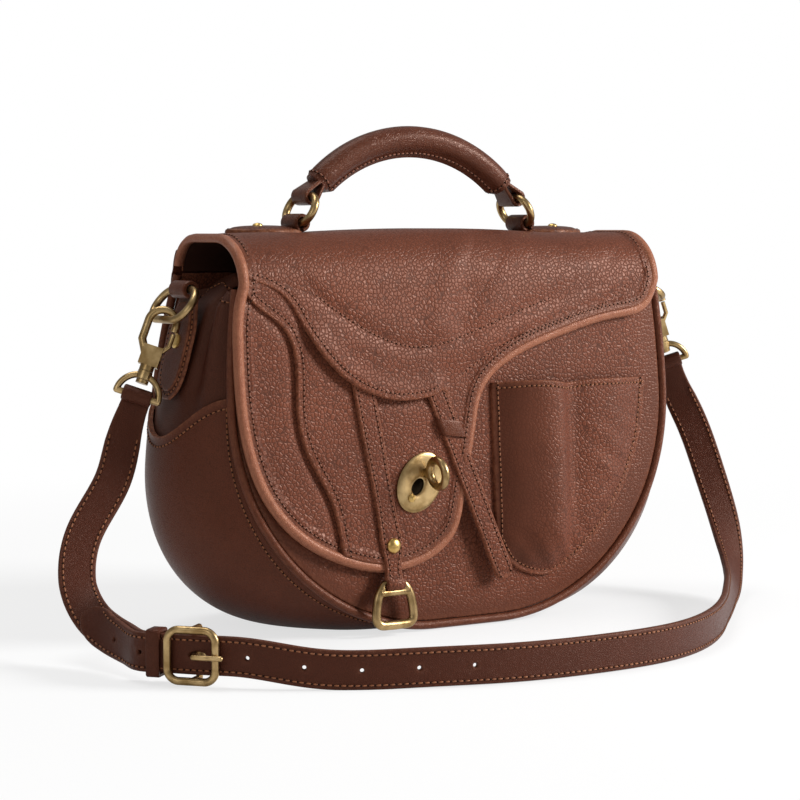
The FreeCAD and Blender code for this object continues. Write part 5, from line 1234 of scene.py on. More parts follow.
strip_outline = between(strip_line(-1), strip_line(1))
strip_skin = leather_cut(
    strip_outline, front_point, level(strip_face + strip_lift), stirrup_strip_top, step=fine_step)
rings = []
for turn in np.linspace(math.radians(35), math.radians(-200), 26):
    radius, side = np.array(loop_section).T
    rings.append(front_point(
        -stirrup_side + side * loop_half, stirrup_bar_height + radius * math.sin(turn),
        strip_face + strip_leather / 2 + radius * math.cos(turn)))
add_piece(
    "stirrup_leather_hide", join_skins(strip_skin, (*skin_rings(rings), loop_wear)), pebbled_hide, "flap",
    ["stirrup_leather"])

rivet_shares = [(1.0, -0.3), (1.0, 0.06), (0.92, 0.24), (0.7, 0.42), (0.36, 0.54), (0.05, 0.58)]
stirrup_rivet_radius = 4.3


def rivet_dome(seat, out, radius):
    """A domed rivet head on a seat, facing out."""
    across = unit(np.cross(out, (1.0, 0.0, 0.0)))
    up = np.cross(out, across)
    turns = full_turn(24)[:, None]
    circle = np.cos(turns) * across + np.sin(turns) * up
    seat, out = np.asarray(seat), np.asarray(out)
    return skin_rings([seat + circle * radius * wide + out * radius * rise for wide, rise in rivet_shares])


rivet_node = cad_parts["stirrup_rivet"]
corners = np.array([tuple(rivet_node.matrix_world @ vertex.co) for vertex in rivet_node.data.vertices]) / MM
rivet_middle = (corners.min(axis=0) + corners.max(axis=0)) / 2
rivet_seat = front_point(rivet_middle[0], rivet_middle[2] / math.cos(front_lean), strip_face + strip_leather)
front_out = (0.0, -math.cos(front_lean), math.sin(front_lean))
rivet_skin = rivet_dome(rivet_seat, front_out, stirrup_rivet_radius)
add_piece("stirrup_rivet_head", rivet_skin, bright_brass, "flap", ["stirrup_rivet"])


# Turn lock: a flat oval plate with a bevelled edge and a slot, riveted to the flap. The turning ring
# stands on a post that passes through the slot into the receiver on the bag's front.

plate_offset, plate_long, plate_short, plate_thick, plate_seat = 6.3, 18.0, 13.5, 1.8, 0.02
bevel_height, bevel_run, plate_step, plate_angle = 0.7, 0.9, 1.5, 35.0
plate_slot_offset, plate_slot_long, plate_slot_short = 9.2, 5.2, 3.4
shade_sheet_border, shade_sheet_low, shade_sheet_high = 0.6, 0.1, 0.4


def plate_face(places, depth):
    return strip_face + plate_thick - bevel_height + puffed(depth, bevel_height, bevel_run)


plate_skin = leather_cut(
    oval(plate_offset, plate_long, plate_short), front_point, level(strip_face + plate_seat), plate_face,
    holes=[oval(plate_slot_offset, plate_slot_long, plate_slot_short)], step=plate_step)
add_piece("lock_plate_brass", plate_skin, antique_brass, "flap", ["lock_plate"], sharp=plate_angle)
# a near-black oval sheet under the slot, painted shade standing in for the shadow down in the slot
slot_painted_shade = brass("slot_painted_shade", (34, 28, 20), (20, 16, 12))
shade_sheet_outline = oval(plate_slot_offset, plate_slot_long + shade_sheet_border, plate_slot_short + shade_sheet_border)
shade_sheet_skin = leather_cut(
    shade_sheet_outline, front_point, level(strip_face + shade_sheet_low), level(strip_face + shade_sheet_high), step=plate_step)
add_piece("lock_slot_painted_shade", shade_sheet_skin[:2], slot_painted_shade, "flap")


# Stirrup: a small cast brass stirrup that hangs by its bar in the leather's loop, with flaring
# sides, a cross bar and a flat tread, all its edges rounded.

stirrup_out, stirrup_step, rod_sides = strip_face + strip_leather / 2, 0.7, 14
stirrup_half = spline([
    (0.0, 0.0), (5.0, 0.0), (6.6, -0.5), (7.6, -2.2), (9.0, -4.4), (10.6, -8.0), (11.6, -13.0), (12.0, -17.5),
    (11.4, -20.6), (9.2, -22.4), (6.0, -22.8), (0.0, -22.9)], stirrup_step)
side_wide, side_deep, bar_less_wide, bar_less_deep, bar_reach = 2.6, 2.3, 0.9, 0.6, 1.6
cross_bar_drop, cross_bar_half, cross_bar_radius, cross_bar_flare, cross_bar_flat = 5.0, 9.4, 2.1, 0.9, 0.9
stirrup_path = np.concatenate([stirrup_half, (stirrup_half * [-1, 1])[::-1][1:-1]])
along = unit(np.roll(stirrup_path, -1, axis=0) - np.roll(stirrup_path, 1, axis=0))
turns = full_turn(rod_sides)
rings = []
for (x, w), (along_x, along_w) in zip(stirrup_path, along):
    on_bar = bell(w, bar_reach)
    beside = (side_wide - bar_less_wide * on_bar) * np.cos(turns)
    out = (side_deep - bar_less_deep * on_bar) * np.sin(turns)
    rings.append(front_point(
        x - stirrup_side - along_w * beside, stirrup_bar_height + w + along_x * beside, stirrup_out + out))
bar_rings = []
for share in np.linspace(-1, 1, 15):
    radius = cross_bar_radius + cross_bar_flare * share ** 6
    x = np.full(rod_sides, share * cross_bar_half - stirrup_side)
    w = stirrup_bar_height - cross_bar_drop + radius * np.cos(turns)
    bar_rings.append(front_point(x, w, stirrup_out + cross_bar_flat * radius * np.sin(turns)))
stirrup_skin = join_skins(skin_rings(rings, loop=True), skin_rings(bar_rings))
add_piece("stirrup_brass", stirrup_skin[:2], antique_brass, "stirrup", ["stirrup"])


# Handle: a cord core rolled in smooth hide and closed with a sewn ridge along its underside, its
# ends folded into loops on two brass rings. Leaf-shaped tabs hold the rings on the flap's top.

handle_y, handle_centre_z, handle_radius, handle_half = 3.0, 184.05, 90.0, math.radians(45)
handle_thickness, handle_end_share, handle_end_run, handle_wear = 7.5, 0.9, 0.06, 0.1
keel_height, keel_run = 3.0, math.radians(14)
handle_hide = hide(
    "handle_hide", (84, 43, 30), (60, 31, 22), (150, 96, 66), cell=0.0012, depth=0.0001, shine=(0.26, 0.4),
    patch_size=0.03)


def handle_point(turn, away, across):
    """A place on the handle's arc, at a turn from its top, away from its centre and across it."""
    x, z = np.sin(turn) * away, handle_centre_z + np.cos(turn) * away
    return np.stack(np.broadcast_arrays(x, handle_y + across, z), axis=-1)


angles = full_turn(28)
keel = keel_height * bell(np.abs((angles - math.pi / 2) % (2 * math.pi) - math.pi), keel_run)
rings = []
for turn in np.linspace(-handle_half, handle_half, 70):
    end = ease((handle_half - abs(turn)) / handle_end_run)
    thick = handle_thickness * (handle_end_share + (1 - handle_end_share) * end)
    away = handle_radius + np.sin(angles) * (thick + keel * end)
    rings.append(handle_point(turn, away, np.cos(angles) * thick))
roll = add_piece(
    "handle_roll", (*skin_rings(rings), handle_wear), handle_hide, "handle",
    ["handle_cover", "handle_core"])

ribbon_low, ribbon_edge, ribbon_bevel, bevel_share, flat_share = 0.3, 0.5, 0.1, 0.94, 0.86


def ribbon(path, side, outs, half_width, thickness, narrowing=1.0):
    """A strip with rounded long edges along a path, its width along side and its face turned out."""
    half = thickness / 2
    right = [
        (flat_share, half), (bevel_share, half - ribbon_bevel), (1, half - ribbon_edge),
        (1, ribbon_low - half), (bevel_share, -half)]
    across, out = np.roll([(-a, b) for a, b in right[::-1]] + right, -1, axis=0).T
    widths = np.outer(half_width * narrowing * np.ones(len(path)), across)[..., None]
    return skin_rings(path[:, None] + widths * np.asarray(side) + outs[:, None] * out[:, None])


def wrapped(middle, ways, angles, radius, side, half_width, thickness):
    """A ribbon bent round a bar. The angles turn from the first way to the second."""
    outs = np.outer(np.cos(angles), ways[0]) + np.outer(np.sin(angles), ways[1])
    return ribbon(middle + outs * radius, side, outs, half_width, thickness)


along_y, upright = np.array([0.0, 1.0, 0.0]), np.array([0.0, 0.0, 1.0])
handle_bar_x, handle_bar_z = 70.508, 240.802
loop_radius, loop_leg, loop_spread, loop_half, loop_leather, loop_wear = 4.1, 12.0, 1.2, 8.2, 2.0, 0.3
loop_end_share = 0.76
legs, bends = np.linspace(1, 0, 6)[:, None], np.linspace(0, math.pi, 14)[1:-1, None]
leg_widths = np.linspace(loop_end_share, 1.0, len(legs))
loop_widths = np.concatenate([leg_widths, np.ones(len(bends)), leg_widths[::-1]])
for side_name, sign in (("left", -1), ("right", 1)):
    toward = np.array([-sign * math.cos(handle_half), 0.0, math.sin(handle_half)])
    normal = np.cross(along_y, toward)
    leg_away = normal * (loop_radius + (loop_spread - loop_radius) * legs)
    bend_outs = normal * np.cos(bends) - toward * np.sin(bends)
    leg_run = toward * loop_leg * legs
    path = np.concatenate([leg_run + leg_away, bend_outs * loop_radius, (leg_run - leg_away)[::-1]])
    outs = np.concatenate([normal + 0 * leg_run, bend_outs, 0 * leg_run - normal])
    bar = np.array([sign * handle_bar_x, handle_y, handle_bar_z])
    loop_skin = ribbon(bar + path, along_y, outs, loop_half, loop_leather, loop_widths)
    add_piece(
        "handle_loop_" + side_name + "_hide", (*loop_skin, loop_wear), handle_hide, "handle",
        ["handle_loop_" + side_name])

flap_top, tab_length, tab_half_width, tab_leather, tab_seat = 220.05, 44.0, 13.0, 2.6, 0.02
handle_pivot_side, handle_pivot_lift, tab_loop_half = 77.2, 6.0, 8.3
tab_dome, tab_dome_run, tab_dome_sink, tab_round = 2.8, 5.0, 0.6, 0.9
tab_row, tab_row_depth, tab_row_width = 2.6, 0.35, 0.8
tab_rivet_share, tab_rivet_lift, tab_rivet_radius = 0.55, 1.7, 2.9
leaf_shares = [
    (0.02, 0.62), (0.14, 0.74), (0.35, 1.0), (0.55, 0.98), (0.75, 0.74), (0.92, 0.36), (1.0, 0.12)]
leaf_side = spline([(a * tab_length, b * tab_half_width) for a, b in leaf_shares])


def leaf_point(sign):
    return lambda u, v, n: np.stack([sign * (handle_pivot_side + u), handle_y + v, flap_top + n], axis=-1)


def leaf_face(places, depth):
    sewn_row = tab_row_depth * bell(depth - tab_row, tab_row_width)
    dome = tab_leather - tab_dome_sink + puffed(depth, tab_dome, tab_dome_run)
    return dome - rounded(depth, tab_round) - sewn_row


tab_angles = np.linspace(math.radians(-50), math.radians(262), 26)
rivet_skins = []
for side_name, sign in (("left", -1), ("right", 1)):
    leaf_skin = leather_cut(
        between(leaf_side * [1, -1], leaf_side), leaf_point(sign), level(tab_seat), leaf_face,
        step=fine_step)
    pivot = np.array([sign * handle_pivot_side, handle_y, flap_top + handle_pivot_lift])
    outside = np.array([sign, 0.0, 0.0])
    loop_skin = wrapped(
        pivot, (outside, upright), tab_angles, loop_radius, along_y, tab_loop_half, loop_leather)
    add_piece(
        "handle_tab_" + side_name + "_hide", join_skins(leaf_skin, (*loop_skin, loop_wear)), handle_hide,
        "flap", ["handle_tab_" + side_name])
    rivet_x = sign * (handle_pivot_side + tab_rivet_share * tab_length)
    rivet_seat = (rivet_x, handle_y, flap_top + tab_leather + tab_rivet_lift)
    rivet_skins.append(rivet_dome(rivet_seat, upright, tab_rivet_radius))
add_piece(
    "handle_tab_rivet_heads", join_skins(*rivet_skins)[:2], bright_brass, "flap",
    ["handle_tab_rivets"])


# Side tabs: upright patches of hide riveted to the gusset, rounded at the foot, each with a second
# layer on it and folded into a loop at the top that holds a brass ring for the strap's clip.

side_loop_x, side_y, side_loop_z, side_slope = 151.4, -4.0, 190.0, math.radians(14.6)
side_tab_leather, side_tab_length, side_tab_half, patch_seat, patch_round = 2.4, 60.0, 15.0, -5.0, 0.9
side_loop_radius, side_loop_half, side_loop_leather, side_loop_wear = 3.8, 8.8, 2.2, 0.2
layer_leather, layer_lap, layer_round, layer_half, layer_start, layer_less = 1.0, 0.3, 0.8, 10.8, 6.0, 10.5
patch_shares = [(0.0, 0.6), (0.12, 0.72), (0.32, 0.98), (0.55, 1.0), (0.78, 0.92), (0.93, 0.62), (1.0, 0.2)]
layer_shares = [(0.0, 0.7), (0.1, 0.78)] + patch_shares[2:]
patch_face_height = side_tab_leather - layer_leather
patch_side = spline([(b * side_tab_half, -a * side_tab_length) for a, b in patch_shares])
patch_outline = between(patch_side, patch_side * [-1, 1])
layer_side = spline(
    [(b * layer_half, -layer_start - a * (side_tab_length - layer_less)) for a, b in layer_shares])
layer_outline = between(layer_side, layer_side * [-1, 1])


def patch_point(sign):
    def place(u, v, n):
        out = patch_seat + n
        x = math.cos(side_slope) * out - math.sin(side_slope) * v
        z = math.sin(side_slope) * out + math.cos(side_slope) * v
        return np.stack([sign * (side_loop_x + x), side_y + u, side_loop_z + z], axis=-1)
    return place


side_angles = np.linspace(math.radians(230), math.radians(-75), 26)
for side_name, sign in (("left", -1), ("right", 1)):
    patch_skin = leather_cut(
        patch_outline, patch_point(sign), level(0.0),
        lambda p, d: patch_face_height - rounded(d, patch_round), step=fine_step)
    bar = np.array([sign * side_loop_x, side_y, side_loop_z])
    outside = np.array([sign, 0.0, 0.0])
    loop_skin = wrapped(
        bar, (outside, upright), side_angles, side_loop_radius, along_y, side_loop_half, side_loop_leather)
    add_piece(
        "side_tab_" + side_name + "_hide", join_skins(patch_skin, (*loop_skin, side_loop_wear)), smooth_hide,
        "bag", ["side_tab_" + side_name])
    layer_skin = leather_cut(
        layer_outline, patch_point(sign), level(patch_face_height - layer_lap),
        lambda p, d: side_tab_leather - rounded(d, layer_round), step=fine_step)
    add_piece("side_tab_layer_" + side_name, layer_skin, smooth_hide, "bag")


# Shoulder strap: two lengths of dark strap leather with creased, stitched edges, joined by a
# buckle. The punched end runs through a keeper; both ends are folded round the clips' bails.

strap_spread, strap_reach, strap_half, strap_leather = 240.0, 208.0, 9.75, 3.2
strap_gap, strap_lift, strap_step, strap_line_step = 0.5, 0.3, 2.4, 2.0
strap_layer, strap_edge_z = strap_leather + strap_gap, strap_half + strap_lift
strap_round, strap_under_round = 1.0, 0.8
strap_row, strap_row_depth, strap_row_width = 2.4, 0.3, 0.7
standing = (0.0, 0.0, 1.0)
left_route_shares = [
    (-0.82, 0.05, 0.669, (0.80, -0.50, -0.33)), (-0.91, 0.09, 0.441, (0.87, -0.42, -0.22)),
    (-0.95, 0.15, 0.2595, (0.94, -0.30, -0.05)), (-0.96, 0.23, 0.1401, (0.72, -0.20, 0.66)),
    (-0.957, 0.32, 0.0775, (0.25, -0.05, 0.97)), (-0.953, 0.42, 0.048, standing)]
right_route_shares = [
    (-0.70, 0.80, 0.0045, standing), (-0.52, 0.91, 0.0, standing), (-0.32, 0.98, 0.0, standing),
    (-0.10, 1.0, 0.0, standing), (0.12, 0.965, 0.0, standing), (0.32, 0.84, 0.0, standing),
    (0.50, 0.65, 0.0013, standing), (0.66, 0.46, 0.0196, (-0.20, 0.12, 0.97)),
    (0.79, 0.29, 0.084, (-0.55, 0.34, 0.76)), (0.85, 0.18, 0.245, (-0.80, 0.48, 0.36)),
    (0.855, 0.10, 0.4815, (-0.85, 0.52, 0.08)), (0.83, 0.04, 0.739, (-0.84, 0.54, 0.0))]
hook_yaw, hook_tilt = math.radians(33.0), math.radians(22.0)
hook_top, bail_low, ring_reach = 29.45, 14.2, 20.0
left_swing, right_swing, strap_hang = math.radians(37.0), math.radians(64.0), 19.5
strap_dark = hide(
    "strap_dark", (76, 36, 24), (56, 27, 18), (116, 72, 52), cell=0.0008, depth=0.00007, shine=(0.4, 0.5),
    wear=0.45, patch_size=0.03)


def bail_bar(swing, sign):
    """Middle of the bail's bar, its direction, and the direction down the hook."""
    aside, low = ring_reach * math.sin(swing), ring_reach * math.cos(swing)
    ring_foot = np.array([sign * (side_loop_x + aside), side_y, side_loop_z - low])
    down = np.array([sign * math.sin(hook_tilt), 0.0, -math.cos(hook_tilt)])
    direction = Vector((math.cos(hook_yaw), -math.sin(hook_yaw), 0.0))
    direction.rotate(Matrix.Rotation(-sign * hook_tilt, 3, "Y"))
    return ring_foot + down * (hook_top + bail_low), np.array(direction), down


def strap_route(shares, bar):
    rise = bar[2] - strap_edge_z
    return [
        (np.array([a * strap_spread, -b * strap_reach, strap_edge_z + c * rise]), np.array(wide))
        for a, b, c, wide in shares]


def strap_line(stops):
    """A smooth strap line through (place, width) stops: places, width and outward directions."""
    places, widths = (np.array(part, float) for part in zip(*stops))
    widths = unit(widths)
    way = walked(places)
    fine = spline(places, strap_line_step)
    steps = walked(fine)
    steps *= way[-1] / steps[-1]
    wide = np.stack([np.interp(steps, way, widths[:, k]) for k in range(3)], axis=1)
    along = unit(np.gradient(fine, axis=0))
    across = unit(wide - along * (wide * along).sum(1, keepdims=True))
    return fine, across, np.cross(along, across)


def strap_place(line, shift):
    """Places on a strap from the way along it, across it and out of it, and its whole length."""
    way = walked(line[0])

    def place(s, v, n):
        middle, across, out = (
            np.stack([np.interp(s, way, values[:, k]) for k in range(3)], axis=-1) for values in line)
        return middle + across * v[..., None] + out * (n + shift)[..., None]
    return place, way[-1]


buckle_middle, buckle_turn, buckle_half = np.array([-211.0, -126.0, 15.4]), math.radians(50.0), 12.6
buckle_along = np.array([math.cos(buckle_turn), -math.sin(buckle_turn), 0.0])
buckle_out = np.array([-math.sin(buckle_turn), -math.cos(buckle_turn), 0.0])
buckle_stop = buckle_middle - buckle_along * buckle_half / 2
left_bar, left_direction, left_down = bail_bar(left_swing, -1)
right_bar, right_direction, right_down = bail_bar(right_swing, 1)
left_line = strap_line(
    [(left_bar, left_direction), (left_bar + left_down * strap_hang, left_direction)]
    + strap_route(left_route_shares, left_bar)
    + [(buckle_stop - buckle_along * buckle_half * share, upright) for share in (1.7, 1.0, 0.0)]
    + [(buckle_middle, upright)])
right_line = strap_line(
    [(buckle_stop, upright), (buckle_stop + buckle_along * buckle_half, upright),
     (buckle_middle + buckle_along * buckle_half * 2, upright)]
    + strap_route(right_route_shares, right_bar)
    + [(right_bar + right_down * strap_hang, -right_direction), (right_bar, -right_direction)])


def strap_face(places, depth):
    crease = strap_row_depth * bell(depth - strap_row, strap_row_width)
    return strap_leather / 2 - rounded(depth, strap_round) - crease


def strap_under(places, depth):
    return -strap_leather / 2 + rounded(depth, strap_under_round)


def strap_outline(start, stop, start_shape, stop_shape):
    """A strap's cut, each end narrowed to the bail, square, or rounded to a tip."""
    upper = [(start + a, b * strap_half) for a, b in start_shape]
    upper += [(start + start_shape[-1][0], strap_half), (stop - stop_shape[-1][0], strap_half)]
    upper += [(stop - a, b * strap_half) for a, b in reversed(stop_shape)]
    return between(np.array(upper) * [1, -1], np.array(upper))


bail_end = [(0.0, 0.78), (6.0, 0.8), (14.0, 0.88), (24.0, 0.98), (32.0, 1.0)]
square_end = [(0.0, 1.0), (0.5, 1.0)]
tip_end = [(0.0, 0.3), (1.2, 0.48), (3.0, 0.62), (7.0, 0.83), (12.0, 0.96), (17.0, 1.0)]
bail_gap, tip_gap, strap_fold_wear = 2.0, 0.5, 0.2
sleeve_radius, sleeve_half, sleeve_leather = 3.3, 7.9, 2.2
post_level, post_reach, post_fold_radius, post_fold_half = 6.5, 5.1, 3.5, 3.1
post_middle = buckle_middle - buckle_out * (strap_leather / 2 + post_reach)


def bar_sleeve(bar, direction):
    """The strap's end, folded round a bail's bar."""
    normal = unit(np.cross(direction, upright))
    sleeve = wrapped(
        bar, (normal, np.cross(direction, normal)), np.linspace(0, 2 * math.pi, 30), sleeve_radius,
        direction, sleeve_half, sleeve_leather)
    return *sleeve, strap_fold_wear


left_place, left_length = strap_place(left_line, -strap_layer)
buckle_skins = [
    leather_cut(
        strap_outline(bail_gap, left_length, bail_end, square_end), left_place, strap_under, strap_face,
        step=strap_step),
    bar_sleeve(left_bar, left_direction)]
for height in (-post_level, post_level):
    post_fold = wrapped(
        post_middle + upright * height, (buckle_along, buckle_out), np.linspace(0, 2 * math.pi, 26),
        post_fold_radius, upright, post_fold_half, sleeve_leather)
    buckle_skins.append((*post_fold, strap_fold_wear))
add_piece(
    "strap_buckle_end_hide", join_skins(*buckle_skins), strap_dark, "bag",
    ["strap_buckle_end"])

tail_length, tail_gap = 84.0, 1.0
hole_radius, hole_pitch, hole_sides, hole_steps = 1.0, 28.0, 14, (-2, -1, 1, 2, 3, 4, 5)
prong_slot_offset, prong_slot_long, prong_slot_short = 2.25, 4.5, 1.8
left_walk = walked(left_line[0])
tail_stop = left_walk[-1] - buckle_half / 2
tail_kept = (left_walk >= tail_stop - tail_length) & (left_walk < tail_stop - tail_gap)
whole_line = tuple(np.concatenate([tail[tail_kept], rest]) for tail, rest in zip(left_line, right_line))
whole_place, whole_length = strap_place(whole_line, 0.0)
at_buckle = int(np.argmin(np.linalg.norm(whole_line[0] - buckle_middle, axis=1)))
buckle_s = walked(whole_line[0])[at_buckle]


def punched(s, long_half, short_half):
    turns = full_turn(hole_sides)
    return np.stack([s + long_half * np.cos(turns), short_half * np.sin(turns)], axis=1)


strap_holes = [punched(buckle_s + k * hole_pitch, hole_radius, hole_radius) for k in hole_steps]
strap_holes.append(punched(buckle_s + prong_slot_offset, prong_slot_long, prong_slot_short))
punched_skin = leather_cut(
    strap_outline(tip_gap, whole_length - bail_gap, tip_end, bail_end), whole_place, strap_under, strap_face,
    holes=strap_holes, step=strap_step)
add_piece(
    "strap_punched_end_hide", join_skins(punched_skin, bar_sleeve(right_bar, right_direction)), strap_dark,
    "bag", ["strap_punched_end"])

band_offset, band_half, band_leather, band_round, band_play, band_play_up = 20.6, 3.5, 1.6, 1.2, 1.0, 0.5
band_high, band_up = strap_leather / 2 + band_play, strap_half + band_play_up
band_low = -strap_layer - band_high
band_section = [
    (-1, 0.0), (1, 0.0), (1, band_round), (flat_share, band_leather), (-flat_share, band_leather),
    (-1, band_round)]
across, thick = np.array(band_section).T[..., None]
rings = []
for out, up, first in ((band_high, band_up, 0), (band_low, band_up, 90), (band_low, -band_up, 180),
                       (band_high, -band_up, 270)):
    for angle in np.radians(np.linspace(first, first + 90, 5)):
        rings.append(
            buckle_middle + buckle_along * (across * band_half - band_offset)
            + buckle_out * (out + math.cos(angle) * thick) + upright * (up + math.sin(angle) * thick))
add_piece(
    "strap_keeper_hide", (*skin_rings(rings, loop=True), strap_fold_wear), strap_dark, "bag",
    ["strap_keeper"])


# Hinge leather: a soft band over the seam between the back panel and the flap, sewn to both.

hinge_thick, hinge_reach, hinge_half, hinge_lap, hinge_round, hinge_step = 1.2, 13.0, 141.0, 0.3, 0.6, 2.0
back_stand, flap_stand, seam_blend = 2.0, 0.7, 2.0


def hinge_point(x, s, n):
    low = back_point(x, back_top + np.minimum(s, 0), n + back_stand)
    high = flap_point(x, hinge_s - np.maximum(s, 0), n + outer_face + flap_stand)
    share = ease((s + seam_blend) / (2 * seam_blend))[..., None]
    return low * (1 - share) + high * share


hinge_skin = leather_cut(
    rectangle(-hinge_half, -hinge_reach, hinge_half, hinge_reach), hinge_point, level(-hinge_lap),
    lambda p, d: hinge_thick - rounded(d, hinge_round), step=hinge_step)
hinge_band = add_mesh("hinge_leather", *hinge_skin[:2], smooth_hide)
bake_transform(hinge_band)


# Stitches: waxed thread in even steps, brown on the flap and handle and tan on the bag and strap, each
# stitch ending in a needle hole, shown as a near-black dot of painted shade. The rows follow the cut
# edges of every sewn piece.

ply_scale, thread_roughness = 900.0, 0.6
stitch_pitch, strap_pitch, stitch_share, thread_thick, hole_width = 0.0029, 0.0034, 0.8, 0.001, 0.0012
stitch_seed, shortest_stitch, longest_stitch, stitch_lift = 7, 0.88, 1.08, 0.15


def waxed_thread(name, dark, light):
    """Twisted thread, darker in patches of fine noise that paint in the shade between its plies."""
    material, tree, fibre = new_material(name)
    ply_shade = noise(tree, object_place(tree), ply_scale, 2.0)["Fac"]
    tree.links.new(two_tone(tree, ply_shade, dark, light), fibre.inputs["Base Color"])
    fibre.inputs["Roughness"].default_value = thread_roughness
    return material


brown_thread = waxed_thread("brown_thread", (96, 52, 32), (146, 88, 60))
tan_thread = waxed_thread("tan_thread", (96, 52, 27), (162, 98, 54))
# near-black dots at the needle holes: painted shade inside each hole
needle_hole_shade = hide(
    "needle_hole_shade", (34, 16, 10), (24, 10, 6), (34, 16, 10), cell=0.0008, depth=0.00002, shine=(0.8, 0.9),
    wear=0.0)

tree = bpy.data.node_groups.new("stitch_row", "GeometryNodeTree")
stitch_tree = tree
for label, kind, start in (
        ("Rows", "Geometry", None), ("Pitch", "Float", stitch_pitch),
        ("Stitch length", "Float", stitch_pitch * stitch_share), ("Thread thickness", "Float", thread_thick),
        ("Hole width", "Float", hole_width), ("Seed", "Int", stitch_seed), ("Thread", "Material", None)):
    socket = tree.interface.new_socket(label, in_out="INPUT", socket_type="NodeSocket" + kind)
    if start is not None:
        socket.default_value = start
tree.interface.new_socket("Stitches", in_out="OUTPUT", socket_type="NodeSocketGeometry")
row_in = tree.nodes.new("NodeGroupInput").outputs
row_curves = add_node(tree, "GeometryNodeMeshToCurve", [("Mesh", row_in["Rows"])])
steps = add_node(
    tree, "GeometryNodeCurveToPoints", [("Curve", row_curves.outputs["Curve"]), ("Length", row_in["Pitch"])],
    mode="LENGTH").outputs


def scaled(vector, scale):
    return add_node(
        tree, "ShaderNodeVectorMath", [(0, vector), ("Scale", scale)], operation="SCALE").outputs[0]


def laid(links):
    """Copies of a shape laid on points, as real geometry."""
    copies = add_node(tree, "GeometryNodeInstanceOnPoints", links)
    return add_node(tree, "GeometryNodeRealizeInstances", [("Geometry", copies.outputs[0])]).outputs[0]


def sized(x, y, z):
    return add_node(tree, "ShaderNodeCombineXYZ", [("X", x), ("Y", y), ("Z", z)]).outputs[0]


thread_shape = add_node(tree, "GeometryNodeMeshUVSphere", [("Segments", 6), ("Rings", 5), ("Radius", 0.5)])
thread_size = sized(row_in["Thread thickness"], row_in["Thread thickness"], row_in["Stitch length"])
pull = add_node(
    tree, "FunctionNodeRandomValue", [(2, shortest_stitch), (3, longest_stitch), ("Seed", row_in["Seed"])],
    data_type="FLOAT")
threads = laid([
    ("Points", steps["Points"]), ("Instance", thread_shape.outputs["Mesh"]), ("Rotation", steps["Rotation"]),
    ("Scale", scaled(thread_size, pull.outputs[1]))])
threads_set = add_node(
    tree, "GeometryNodeSetMaterial", [("Geometry", threads), ("Material", row_in["Thread"])])
hole_offset = scaled(steps["Tangent"], sum_of(tree, "MULTIPLY", row_in["Pitch"], 0.5))
hole_places = add_node(
    tree, "GeometryNodeSetPosition", [("Geometry", steps["Points"]), ("Offset", hole_offset)])
hole_shape = add_node(tree, "GeometryNodeMeshIcoSphere", [("Radius", 0.5), ("Subdivisions", 1)])
holes = laid([
    ("Points", hole_places.outputs[0]), ("Instance", hole_shape.outputs["Mesh"]),
    ("Scale", sized(row_in["Hole width"], row_in["Hole width"], row_in["Hole width"]))])
holes_set = add_node(tree, "GeometryNodeSetMaterial", [("Geometry", holes), ("Material", needle_hole_shade)])
sewn = add_node(
    tree, "GeometryNodeJoinGeometry", [(0, threads_set.outputs[0]), (0, holes_set.outputs[0])])
add_node(tree, "NodeGroupOutput", [("Stitches", sewn.outputs[0])])


def sew(name, rows, body, thread, pitch=stitch_pitch):
    """All the stitch rows on one body, as one mesh."""
    points, edges = [], []
    for row in rows:
        first = len(points)
        points += [tuple(place) for place in np.asarray(row) * MM]
        edges += [(first + k, first + k + 1) for k in range(len(row) - 1)]
    mesh = bpy.data.meshes.new(name + "_rows")
    mesh.from_pydata(points, edges, [])
    guide = bpy.data.objects.new(name + "_rows", mesh)
    scene.collection.objects.link(guide)
    sewing = guide.modifiers.new("sewing", "NODES")
    sewing.node_group = stitch_tree
    chosen = {
        "Pitch": pitch, "Stitch length": pitch * stitch_share, "Thread thickness": thread_thick,
        "Hole width": hole_width, "Seed": stitch_seed, "Thread": thread}
    for item in stitch_tree.interface.items_tree:
        if item.in_out == "INPUT" and item.name in chosen:
            sewing[item.identifier] = chosen[item.name]
    guide.update_tag()
    graph = bpy.context.evaluated_depsgraph_get()
    stitched = bpy.data.meshes.new_from_object(guide.evaluated_get(graph), depsgraph=graph)
    stitched.name = name
    stitched.polygons.foreach_set("use_smooth", [True] * len(stitched.polygons))
    piece = bpy.data.objects.new(name, stitched)
    scene.collection.objects.link(piece)
    bpy.data.objects.remove(guide)
    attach(piece, body)


def row_on(line, place, face, outline):
    """A stitch row on a cut's upper face, only where the line lies inside the cut."""
    line = line[inside(outline, line)]
    depth = distance_to(outline, line, closed=True)
    return place(line[:, 0], line[:, 1], face(line, depth) + stitch_lift)


shortest_row, girth_row_stop, strip_row_foot, row_step = 4, 4.0, 31.0, 1.5
leaf_row_least, leaf_row_sink = 0.8, 0.2
flap_rows = []
border_row = even(flap_border_row, edge_step)
on_seat = inside(seat_outline, border_row)
on_mid = inside(mid_outline, border_row) & ~on_seat
for mask, face, outline in (
        (on_seat, seat_face, seat_outline), (on_mid, mid_face, mid_outline),
        (~on_seat & ~on_mid, flap_face, field_outline)):
    ends = np.nonzero(np.diff(np.concatenate([[0], mask.astype(int), [0]])))[0]
    for first, last in zip(ends[::2], ends[1::2]):
        if last - first > shortest_row:
            flap_rows.append(row_on(border_row[first:last], flap_point, face, outline))
flap_rows.append(row_on(mid_rows[~inside(seat_outline, mid_rows)], flap_point, mid_face, mid_outline))
for line in (seat_rows, seat_fancy, seat_second):
    flap_rows.append(row_on(line, flap_point, seat_face, seat_outline))
